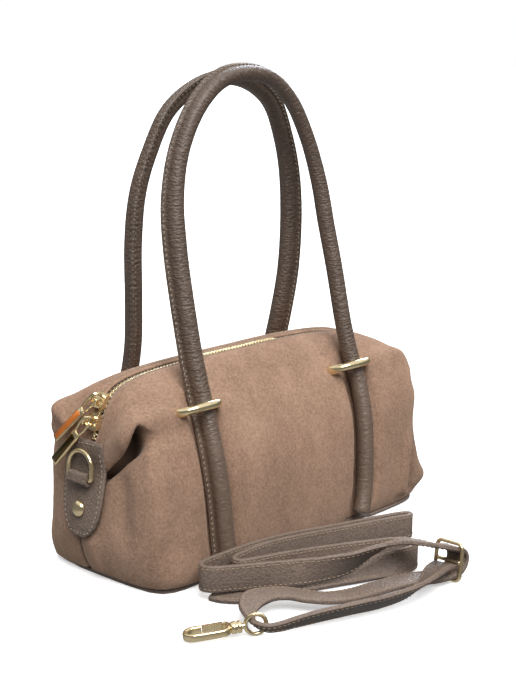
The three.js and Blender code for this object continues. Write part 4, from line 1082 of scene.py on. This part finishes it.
def panel_grid(side):
    """The panel's outer face as rows of points, with its outward normals and its painted shade."""
    sign = SIDES[side][0]
    levels = np.linspace(0, TOP_LEVEL, PANEL_ROWS + 1)
    end_shares = np.linspace(0, 1, END_COLUMNS, endpoint=False)
    panel_x = np.linspace(TURN_X, 0, PANEL_COLUMNS)
    left, right = (
        np.array([curve_columns(curve, end_shares, panel_x) for curve in level_curves(levels, side, end)])
        for end in (-1, 1)
    )
    grid = np.concatenate([left, right[:, :-1][:, ::-1]], axis=1)
    press_groove(grid, side)
    normals = grid_normals(grid, sign)
    from_left = np.array([run_length(row) for row in grid])
    from_seam = np.minimum(from_left, from_left[:, -1:] - from_left)
    seam = (levels < SEAM_OPENS)[:, None] * bell(from_seam, SEAM_TUCK_WIDTH)
    shift = -seam * SEAM_TUCK
    drop = np.zeros_like(shift)
    x, z = grid[..., 0], grid[..., 2]
    # Painted shade: darker towards the base and more so on the right, and in the seam's tuck; the creases
    # add more
    shade = LOW_SHADE * smooth(1 - z / LOW_SHADE_TOP) * (1 + smooth(x / TURN_X)) + SEAM_SHADE * seam**4
    creases = CREASES if side == CREASED_SIDE else ()
    for crease in creases:
        outward, hang, dark = crease_shift(grid, crease)
        shift = shift + outward
        drop = drop + hang
        shade = shade + dark
    grid = grid + normals * shift[..., None]
    grid[..., 2] -= drop
    return grid, grid_normals(grid, sign), shade


def wall_faces(rows, columns):
    """Faces of a wall between an outer and an inner grid of points."""
    half = rows * columns
    faces = []
    for r in range(rows - 1):
        for c in range(columns - 1):
            a, b = r * columns + c, r * columns + c + 1
            d, e = a + columns, b + columns
            faces.append((a, b, e, d))
            faces.append((half + a, half + d, half + e, half + b))
    top = [(rows - 1) * columns + c for c in range(columns)]
    right = [r * columns + columns - 1 for r in range(rows)]
    left = [r * columns for r in range(rows)]
    for edge in (list(reversed(range(columns))), top, left, list(reversed(right))):
        for a, b in zip(edge, edge[1:]):
            faces.append((a, b, half + b, half + a))
    return faces


def build_panel(side, grid, normals, shade, material):
    sign = SIDES[side][0]
    inner = grid - normals * SUEDE_THICKNESS
    levels = np.linspace(0, TOP_LEVEL, PANEL_ROWS + 1)
    limit = np.interp(levels, SEAM_LEVELS, SEAM_HALF_GAPS)[:, None]
    drift = np.interp(levels, DRIFT_LEVELS, SEAM_DRIFT)[:, None] * (inner[..., 0] < 0)
    inner[..., 1] = drift + sign * np.maximum(sign * (inner[..., 1] - drift), limit)
    points = np.concatenate([grid.reshape(-1, 3), inner.reshape(-1, 3)])
    obj = make_mesh(f"{side}_suede", points, wall_faces(*grid.shape[:2]), material)
    # The painted shade goes to the suede material as a point attribute
    layer = obj.data.attributes.new("shade", "FLOAT", "POINT")
    layer.data.foreach_set("value", np.tile(shade.ravel(), 2).astype(np.float32))
    add_piece(face_outward(obj), "bag", "suede", f"{side}_panel")


# Base


def box_mm(node):
    return [np.array(corner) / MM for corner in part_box(node)]


def build_base(grids, leather):
    """Piping cord round the base, just inside the panels' lower edge."""
    outline = np.vstack([grids["front"][0], grids["back"][0][::-1]])[:, :2]
    outline = even_points(outline, PIPING_STEPS, loop=True)
    along = tangents(outline, loop=True)
    inward = np.stack([-along[:, 1], along[:, 0]], -1)
    low, high = box_mm("base_piping")
    radius = (high[2] - low[2]) / 2
    tuck = PIPING_TUCK[0] + PIPING_TUCK[1] * smooth((-outline[:, :1] - PIPING_TUCK_X) / PIPING_TUCK_FADE)
    path = np.column_stack([outline + inward * tuck, np.full(len(outline), low[2] + radius)])
    cord = sweep("piping_cord", path, round_section(radius, PIPING_SIDES), (0, 0, 1), leather, loop=True)
    add_piece(cord, "bag", "grained_leather", "base_piping")


# Zip


def build_zip(grids, tape, gold):
    line = grids["front"][-1] * np.array([1, 0, 1])
    run = run_length(line)
    line = read_line(line, run, np.linspace(ZIP_END_TRIM, run[-1] - ZIP_END_TRIM, ZIP_STEPS))
    corners = ((-1, TAPE_BOTTOM), (1, TAPE_BOTTOM), (1, TAPE_TOP), (-1, TAPE_TOP))
    section = [(hand * TAPE_HALF, level) for hand, level in corners]
    add_piece(sweep("zip_ribbon", line, section, (0, 1, 0), tape), "bag", "zip_tape", "zip_tape")
    places = even_points(line, int(run_length(line)[-1] / TOOTH_PITCH))
    x = places[:, 0]
    sunk = smooth((TEETH_SEEN[0] - x) / SUNK_FADE) * smooth((x - SLIDER_X) / SUNK_FADE)
    sunk = sunk + smooth((x - TEETH_SEEN[1]) / SUNK_FADE)
    places[:, 2] -= TEETH_LOW + (SUNK_TEETH - TEETH_LOW) * sunk
    along = tangents(places)
    out = np.cross(along, np.array([0, 1.0, 0]))
    to_middle = np.zeros_like(places)
    to_middle[:, 1] = np.where(np.arange(len(places)) % 2, -1, 1)
    across, half, low, high = np.array(TOOTH_SHAPE).T
    offsets = (
        np.repeat(across[:, None], 4, axis=1) * TOOTH_LENGTH,
        np.stack([-half, half, half, -half], -1) * TOOTH_WIDTH,
        TOOTH_BOTTOM + np.stack([low, low, high, high], -1) * (TOOTH_TOP - TOOTH_BOTTOM),
    )
    teeth = many_bars("zip_tooth_row", places, (to_middle, along, out), offsets, gold)
    add_piece(face_outward(teeth), "bag", "zip_teeth", "zip_teeth")


def build_zip_stitches(grids, normals, thread):
    """A row of topstitching along each zip edge."""
    row = int(round(PANEL_ROWS * ZIP_STITCH_LEVEL / TOP_LEVEL))
    for side in SIDES:
        out = normals[side][row][3:-3]
        path = grids[side][row][3:-3] + out * ZIP_STITCH_LIFT
        stitch_row(f"zip_stitches_{side}", path, out, "suede", ZIP_STITCH, thread)


# Zip pulls


def node_points(frame, node):
    return np.array([v.co for v in frame["nodes"][node].data.vertices]) / MM


def swing_frame(frame, node, reach):
    """A hinged node's pivot, its axis, and the direction of what lies further out than a reach."""
    joint = next(j for j in frame["joints"] if j["name"] == f"{node}_hinge")
    origin, axis = np.array(joint["pos_m"]) / MM, unit(joint["axis"])
    away = node_points(frame, node) - origin
    far = away[np.linalg.norm(away, axis=1) > reach].mean(0)
    return origin, axis, square_to(far, axis)


def plate_mesh(name, sizes, origin, axes, material):
    """A flat plate with round corners and bevelled edges."""
    start, stop, half_width, radius, half, bevel = sizes
    outline = rounded_box((stop - start) / 2, half_width, radius, CORNER_STEPS)
    outline[:, 0] += (start + stop) / 2
    centre = outline.mean(0)
    away = outline - centre
    size = np.linalg.norm(away, axis=1, keepdims=True)
    rings = []
    for height, inset in ((-half, bevel), (-half + bevel, 0), (half - bevel, 0), (half, bevel)):
        ring = centre + away * (1 - inset / size)
        rings.append(origin + ring[:, :1] * axes[0] + ring[:, 1:] * axes[1] + height * axes[2])
    return face_outward(make_mesh(name, np.vstack(rings), ring_faces(len(rings), len(outline)), material))


def build_pull(frame, name, gold, inset_metal):
    """A zip pull: a wire loop on its hinge bar, a gold frame and an inset warm plate on each face."""
    body = f"zip_pull_{name}_body"
    origin, bar, tip = swing_frame(frame, f"zip_pull_{name}", FAR_SHARE * PULL_LENGTH)
    out = np.cross(tip, bar)
    axes = (tip, bar, out)
    rim = plate_mesh(f"pull_plate_{name}", PULL_PLATE, origin, axes, gold)
    add_piece(rim, body, "gold_metal", f"zip_pull_{name}")
    for face, label in ((-1, "under"), (1, "top")):
        place = origin + out * face * INSET_LIFT
        inset = plate_mesh(f"pull_inset_{name}_{label}", PULL_INSET, place, axes, inset_metal)
        add_piece(inset, body, "gold_metal")
    line = soften(even_points(PULL_LOOP, PULL_LOOP_STEPS, loop=True), PULL_SOFTENING)
    loop = wire_loop(f"pull_loop_{name}", origin, line, (tip, bar), PULL_WIRE, PULL_WIRE_SIDES, gold)
    add_piece(loop, body, "gold_metal")


# End tabs


def outer_x(tree, end, y, z):
    """Where a line along X from outside meets a solid."""
    hit = tree.ray_cast(Vector((end * RAY_START, y, z)) * MM, Vector((-end, 0, 0)))[0]
    return np.nan if hit is None else hit.x / MM


def tab_surface(frame, end, name):
    """The tab's outer face as a smooth grid."""
    mesh = frame["nodes"][f"end_tab_{name}"].data
    tree = BVHTree.FromPolygons([v.co[:] for v in mesh.vertices], [p.vertices[:] for p in mesh.polygons])
    shares = TAB_LAST_SHARE * (1 - (1 - np.linspace(0, 1, TAB_ROWS)) ** TAB_CROWDING)
    grid = np.zeros((TAB_ROWS, TAB_COLUMNS + 1, 3))
    for r, share in enumerate(shares):
        z = TAB_TOP + share * (TAB_BOTTOM - TAB_TOP)
        half = np.interp(share, TAB_SHARES, TAB_HALF_WIDTHS)
        for c in range(TAB_COLUMNS + 1):
            across = 2 * c / TAB_COLUMNS - 1
            x = outer_x(tree, end, TAB_OFFSET + TAB_INSIDE * across * half, z - TAB_TOP_DROP * (r == 0))
            grid[r, c] = (x, TAB_OFFSET + across * half, z)
    for column in grid[..., 0].T:
        good = ~np.isnan(column)
        rows = np.arange(TAB_ROWS)
        column[:] = np.interp(rows, rows[good], column[good])
    for _ in range(TAB_SMOOTHING):
        x = grid[..., 0]
        around = x[:-2, 1:-1] + x[2:, 1:-1] + x[1:-1, :-2] + x[1:-1, 2:]
        grid[1:-1, 1:-1, 0] = (x[1:-1, 1:-1] + around) / 5
    return grid


def tab_stitch_line(grid, normals):
    """Line of the tab's stitches down one side, up the other and across the top, with its normals."""
    rows, columns = grid.shape[:2]
    line, out = [], []
    for hand, order in ((-1, range(2, rows - 1)), (1, range(rows - 2, 1, -1))):
        for r in order:
            half = (grid[r, -1, 1] - grid[r, 0, 1]) / 2
            across = max(0.0, half - TAB_STITCH_IN) / half * hand
            c = (across + 1) / 2 * (columns - 1)
            i = min(columns - 2, int(c))
            line.append(grid[r, i] * (1 - c + i) + grid[r, i + 1] * (c - i))
            out.append(normals[r, i])
    for c in range(columns - 4, 2, -1):
        line.append(grid[1, c])
        out.append(normals[1, c])
    keep = [i for i, p in enumerate(line) if p[2] > TAB_BOTTOM + TAB_STITCH_IN]
    return np.array(line)[keep], np.array(out)[keep]


def build_tab(frame, name, end, leather, thread):
    grid = tab_surface(frame, end, name)
    normals = grid_normals(grid, 1)
    normals *= np.sign(normals[..., :1]) * end
    rows, columns = grid.shape[:2]
    from_side, from_end = (np.minimum(np.arange(n), np.arange(n)[::-1]) for n in (columns, rows))
    rim = np.minimum(from_side[None, :], from_end[:, None])
    drop = np.interp(rim, (0, 1, 2), TAB_RIM_DROPS)
    outer = grid - normals * drop[..., None]
    inner = grid - normals * (TAB_THICKNESS - TAB_RIM_THINNER * (rim == 0))[..., None]
    points = np.concatenate([outer.reshape(-1, 3), inner.reshape(-1, 3)])
    tab = face_outward(make_mesh(f"tab_{name}", points, wall_faces(rows, columns), leather))
    add_piece(tab, "bag", "grained_leather", f"end_tab_{name}")
    line, out = tab_stitch_line(grid, normals)
    stitch_row(f"tab_stitches_{name}", line, out, "grained_leather", TAB_STITCH, thread)


def build_d_ring(frame, name, gold):
    origin, axis, up = swing_frame(frame, f"d_ring_{name}", FAR_SHARE * D_RING_HEIGHT)
    half = D_RING_HALF
    angle = np.linspace(0, math.pi, ARCH_STEPS)
    arch = np.stack([half * np.cos(angle), D_RING_HEIGHT - half + half * np.sin(angle)], -1)
    line = even_points(np.vstack([[(-half, 0), (half, 0)], arch]), LOOP_STEPS, loop=True)
    line = soften(line, D_RING_SOFTENING)
    ring = wire_loop(f"d_ring_wire_{name}", origin, line, (axis, up), D_RING_WIRE, WIRE_SIDES, gold)
    add_piece(ring, f"d_ring_{name}_body", "gold_metal", f"d_ring_{name}")


def build_rivet(frame, name, end, gold):
    """A domed rivet head on the tab."""
    points = node_points(frame, f"rivet_{name}")
    middle = (points.min(0) + points.max(0)) / 2
    axes = np.linalg.svd(points - points.mean(0), full_matrices=False)[2]
    out = axes[2] * np.sign(axes[2][0]) * end
    radius = np.max(np.abs((points - middle) @ axes[0]))
    foot = middle + out * np.min((points - middle) @ out)
    circle = spokes(RIVET_SIDES, axes[0], axes[1])
    rows = [foot + radius * share * circle + out * rise for share, rise in RIVET_PROFILE]
    dome = make_mesh(f"rivet_dome_{name}", np.vstack(rows), ring_faces(len(rows), RIVET_SIDES), gold)
    add_piece(face_outward(dome), "bag", "gold_metal", f"rivet_{name}")


# Handles and their rings


def handle_path(side, count):
    sign = SIDES[side][0]
    rows = HANDLE_ROWS[side]
    left = [(-row[2], sign * row[1], row[0]) for row in rows]
    right = [(row[3], sign * row[1], row[0]) for row in rows]
    return spline(left + right[-2::-1], count)


def handle_section():
    """Tube with a sewn flange, in the flange's own directions: along it and across it."""
    start = math.acos((FLANGE_ROOT - FLANGE_SHIFT) / HANDLE_RADIUS)
    angle = np.linspace(start, 2 * math.pi - start, TUBE_SIDES)
    tube = np.stack([FLANGE_SHIFT + HANDLE_RADIUS * np.cos(angle), HANDLE_RADIUS * np.sin(angle)], -1)
    half = FLANGE_HALF
    upper = [(FLANGE_TIP - FLANGE_EDGE, half), *((x, half + rise) for x, rise in FLANGE_NECK)]
    tip = [(FLANGE_TIP, -half + FLANGE_EDGE), (FLANGE_TIP, half - FLANGE_EDGE)]
    lower = [(x, -y) for x, y in reversed(upper)]
    return np.array([*upper, *tube, *lower, *tip])


def build_handle(side, leather, thread):
    sign = SIDES[side][0]
    sine, cosine = math.sin(math.radians(FLANGE_TURN)), math.cos(math.radians(FLANGE_TURN))
    path = handle_path(side, HANDLE_STEPS)
    narrow = 1 - ARCH_NARROWING * smooth((path[:, 2] - ARCH_START) / ARCH_FADE)[:, None]
    u, v = handle_section().T
    section = np.stack([-sign * (u * sine + v * cosine), u * cosine - v * sine], -1)
    roll = sweep(f"handle_roll_{side}", path, section[None] * narrow[..., None], (0, 1, 0), leather)
    add_piece(roll, "bag", "grained_leather", f"handle_{side}")
    along = tangents(path)
    across = square_to(np.array([0, 1.0, 0]), along)
    third = np.cross(along, across)
    flange = -sign * across * sine + third * cosine
    face = -sign * across * cosine - third * sine
    for hand, label in ((1, "inner"), (-1, "outer")):
        line = path + (flange * FLANGE_STITCH + face * hand * (FLANGE_HALF + FLANGE_STITCH_LIFT)) * narrow
        name = f"handle_stitches_{side}_{label}"
        tilt = HANDLE_STITCH_TILT * hand
        stitch_row(name, line, face * hand, "grained_leather", HANDLE_STITCH, thread, tilt)


def build_ring(name, side, half, shift, gold):
    """A staple-like ring: an oval bow round the leg whose ends go into the suede."""
    sign = SIDES[side][0]
    path = handle_path(side, LEG_SAMPLES)
    leg = path[np.sign(path[:, 0]) == half]
    heights = (RING_Z - LEG_RISE, RING_Z, RING_Z + LEG_RISE)
    low, centre, high = (leg[np.argmin(np.abs(leg[:, 2] - height))] for height in heights)
    up = unit(high - low)
    out = unit(np.array([0, sign * up[2], -sign * up[1]]))
    centre = centre + np.array([shift, 0, 0])
    angle = np.linspace(-0.5, 0.5, BOW_STEPS) * math.pi
    bow = centre + np.outer(RING_ACROSS * np.sin(angle), (1, 0, 0))
    bow = bow + np.outer(RING_LIFT + RING_OUTWARD * np.cos(angle), out)
    low_box, high_box = box_mm(f"handle_ring_{name}")
    inner = (high_box if sign < 0 else low_box)[1] + sign * RING_SINK
    room = np.maximum(sign * (bow[[0, -1], 1] - inner), RING_ROOM) / abs(out[1]) + RING_ENTRY
    first, last = bow[[0, -1]] - np.outer(room, out)
    bow = even_points(np.vstack([first, bow, last]), RING_STEPS)
    run = np.linspace(0, 1, RING_STEPS)
    radius = RING_WIRE + (RING_FOOT - RING_WIRE) * bell(np.minimum(run, 1 - run), RING_FOOT_SHARE)
    ring = sweep(f"ring_{name}", bow, round_section(1, RING_SIDES)[None] * radius[:, None, None], up, gold)
    add_piece(ring, "bag", "gold_metal", f"handle_ring_{name}")


# Shoulder strap


def build_strap(leather, thread):
    rows = read_rows(STRAP_ROUTE, np.linspace(0, len(STRAP_ROUTE) - 1, STRAP_STEPS))
    path, width = rows[:, :3], rows[:, 5:]
    lean, aim = np.radians(rows[:, 3]), np.radians(rows[:, 4])
    across = np.stack([np.sin(lean) * np.cos(aim), np.sin(lean) * np.sin(aim), np.cos(lean)], -1)
    half = STRAP_THICKNESS / 2
    section = np.array([rounded_box(wide / 2, half, STRAP_EDGE) for wide in rows[:, 5]])
    band = sweep("strap_band", path, section, across, leather)
    add_piece(band, "bag", "grained_leather", "shoulder_strap")
    along = tangents(path)
    across = square_to(across, along)
    third = np.cross(along, across)
    for edge, label in ((1, "upper"), (-1, "lower")):
        for face, face_label in ((1, "left"), (-1, "right")):
            line = path + across * edge * (width / 2 - STRAP_STITCH_IN) + third * face * half
            name = f"strap_stitches_{label}_{face_label}"
            stitch_row(name, line, third * face, "grained_leather", STRAP_STITCH, thread)


# Buckle and snap hook


def build_buckle(gold):
    """A frame of round wire with a middle bar that the strap passes over."""
    tilt = math.radians(BUCKLE_TILT)
    up = np.array([math.sin(tilt), 0, math.cos(tilt)])
    level = np.array([0, 1.0, 0])
    middle = np.array(BUCKLE_PLACE)
    half_level, half_up = np.array(BUCKLE_HALF) - BUCKLE_WIRE
    outline = rounded_box(half_level, half_up, BUCKLE_CORNER, BUCKLE_CORNER_STEPS)
    line = even_points(outline, LOOP_STEPS, loop=True)
    wire = wire_loop("buckle_frame", middle, line, (level, up), BUCKLE_WIRE, WIRE_SIDES, gold)
    add_piece(wire, "bag", "gold_metal", "strap_buckle")
    reach = np.linspace(-half_level, half_level, BUCKLE_BAR_STEPS)[:, None]
    bar = sweep("buckle_bar", middle + reach * level, round_section(BUCKLE_WIRE, WIRE_SIDES), up, gold)
    add_piece(bar, "bag", "gold_metal")


def build_hook(gold):
    """The hook's open loop, which the gate closes, and its bored neck."""
    eye = np.array(HOOK_EYE)
    turn, drop = math.radians(HOOK_TURN), math.radians(HOOK_DROP)
    along = np.array([math.cos(turn) * math.cos(drop), math.sin(turn) * math.cos(drop), -math.sin(drop)])
    across = unit(np.cross(along, (0, 0, 1)))
    through = np.cross(along, across)
    rail = HOOK_HALF - HOOK_WALL / 2
    angle = np.linspace(0.5, -0.5, HOOK_BEND_STEPS) * math.pi
    bend = np.stack([HOOK_TIP - HOOK_HALF + rail * np.cos(angle), rail * np.sin(angle)], -1)
    back = [(HOOK_ROOT + x, share * rail) for x, share in HOOK_BACK]
    line = spline(np.vstack([[(HOOK_GATE[1], rail)], bend, back, [(HOOK_GATE[0], rail)]]), HOOK_STEPS)
    section = rounded_box(HOOK_DEPTH / 2, HOOK_WALL / 2, HOOK_EDGE, CORNER_STEPS)
    loop = sweep("hook_loop", eye + line @ np.array([along, across]), section, through, gold)
    add_piece(loop, "hook_swivel_body", "gold_metal", "hook_body")
    circle = spokes(NECK_SIDES, across, through)
    points = [eye + x * along + radius * spoke for spoke in circle for x, radius in NECK_PROFILE]
    neck = make_mesh("hook_neck", points, ring_faces(NECK_SIDES, len(NECK_PROFILE), loop=True), gold)
    add_piece(face_outward(neck), "hook_swivel_body", "gold_metal")


# Hard CAD nodes that stay, with a material and softened edges


def dress_node(frame, node, material, bevel=0.0):
    obj = frame["nodes"][node]
    obj.data.materials.clear()
    obj.data.materials.append(material)
    obj.modifiers.new("weld", "WELD").merge_threshold = WELD_DISTANCE
    if bevel:
        edge = obj.modifiers.new("edge", "BEVEL")
        edge.width = bevel * MM
        edge.segments = BEVEL_SEGMENTS
        edge.limit_method = "ANGLE"
        edge.angle_limit = math.radians(BEVEL_ANGLE)
    obj.data.polygons.foreach_set("use_smooth", [True] * len(obj.data.polygons))
    obj.modifiers.new("normals", "WEIGHTED_NORMAL").keep_sharp = True


# Stage


def add_sun(name, come_from, strength, softness, colour):
    light = bpy.data.lights.new(name, "SUN")
    light.energy = strength
    light.angle = math.radians(softness)
    light.color = colour
    obj = bpy.data.objects.new(name, light)
    obj.rotation_euler = Vector(come_from).to_track_quat("Z", "Y").to_euler()
    bpy.context.scene.collection.objects.link(obj)


def stage_piece(name, points, faces, colour, glow, glow_strength):
    """A glowing surface for the camera alone, which sheds no light on the object."""
    material, tree, shader = new_material(name)
    values = {"Base Color": (*colour, 1), "Emission Color": (*glow, 1), "Emission Strength": glow_strength}
    set_inputs(tree, shader, values)
    obj = make_mesh(name, points, faces, material)
    obj.visible_diffuse = False
    obj.visible_glossy = False
    return obj, shader


def build_stage():
    """A pale floor, a pale wall far round the object, and the studio's light."""
    reach = FLOOR_REACH
    corners = ((-reach, -reach, 0), (reach, -reach, 0), (reach, reach, 0), (-reach, reach, 0))
    floor, shader = stage_piece("floor", corners, [(0, 1, 2, 3)], FLOOR_COLOUR, FLOOR_COLOUR, FLOOR_GLOW)
    shader.inputs["Roughness"].default_value = FLOOR_ROUGHNESS
    ring = BACKDROP_REACH * spokes(BACKDROP_SIDES, (1, 0, 0), (0, 1, 0))
    points = np.vstack([ring, ring + np.array([0, 0, BACKDROP_HEIGHT])])
    faces = ring_faces(2, BACKDROP_SIDES)[:BACKDROP_SIDES]
    wall, _ = stage_piece("backdrop", points, faces, (0, 0, 0), (1, 1, 1), 1.0)
    wall.visible_shadow = False

    world = bpy.data.worlds.new("studio")
    bpy.context.scene.world = world
    world.use_nodes = True
    tree = world.node_tree
    direction = add_node(tree, "TexCoord").outputs["Generated"]
    split = add_node(tree, "SeparateXYZ", {"Vector": direction}).outputs
    lean = add_values(tree, split["Z"], split["X"], SKY_LEAN)
    height = spread(tree, lean, 0.0, 1.0, -1.0, 1.0)
    sky = ramp(tree, height, [(place, (grey,) * 3) for place, grey in SKY_STOPS])
    set_inputs(tree, tree.nodes["Background"], {"Color": sky})

    add_sun("key", KEY_FROM, KEY_STRENGTH, KEY_SOFTNESS, (1.0, 1.0, 1.0))
    add_sun("rim", RIM_FROM, RIM_STRENGTH, RIM_SOFTNESS, RIM_COLOUR)


def build_camera():
    azimuth, elevation = math.radians(VIEW_AZIMUTH), math.radians(VIEW_ELEVATION)
    level = math.cos(elevation)
    back = Vector((math.sin(azimuth) * level, -math.cos(azimuth) * level, math.sin(elevation)))
    camera = bpy.data.cameras.new("camera")
    camera.sensor_width = SENSOR_MM
    camera.lens = FOCAL_PX / IMAGE_HEIGHT_PX * SENSOR_MM
    obj = bpy.data.objects.new("camera", camera)
    obj.location = (Vector(VIEW_TARGET) + back * VIEW_DISTANCE) * MM
    obj.rotation_euler = (-back).to_track_quat("-Z", "Y").to_euler()
    bpy.context.scene.collection.objects.link(obj)
    bpy.context.scene.camera = obj
    bpy.context.scene.view_settings.view_transform = "Standard"


def main():
    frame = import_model()
    build_camera()
    build_stage()

    suede = suede_material()
    grained = grained_material()
    wrinkled = wrinkled_material()
    gold, copper, bronze, teeth_gold = (metal_material(*row) for row in METALS)
    thread = woven_material("thread", THREAD, THREAD_BANDS)
    strap_thread = woven_material("strap_thread", STRAP_THREAD, THREAD_BANDS)
    tape = woven_material("zip_tape", TAPE_COLOUR, TAPE_BANDS)

    grids, normals = {}, {}
    for side in SIDES:
        grids[side], normals[side], shade = panel_grid(side)
        build_panel(side, grids[side], normals[side], shade, suede)
    build_base(grids, grained)
    build_zip(grids, tape, teeth_gold)
    build_zip_stitches(grids, normals, thread)
    for name, inset_metal in (("upper", copper), ("lower", bronze)):
        build_pull(frame, name, gold, inset_metal)
        dress_node(frame, f"zip_slider_{name}", gold, bevel=0.5)
    for name, end in (("left", -1), ("right", 1)):
        build_tab(frame, name, end, grained, thread)
        build_d_ring(frame, name, gold)
        dress_node(frame, f"d_ring_loop_{name}", grained, bevel=0.6)
        build_rivet(frame, name, end, gold)
    for side in SIDES:
        build_handle(side, wrinkled, thread)
    for row in RINGS:
        build_ring(*row, gold)
    build_strap(grained, strap_thread)
    dress_node(frame, "base_panel", grained, bevel=0.4)
    build_buckle(gold)
    build_hook(gold)
    for node in ("hook_gate", "hook_far"):
        dress_node(frame, node, gold, bevel=0.6)
    dress_node(frame, "hook_eye", gold)


main()
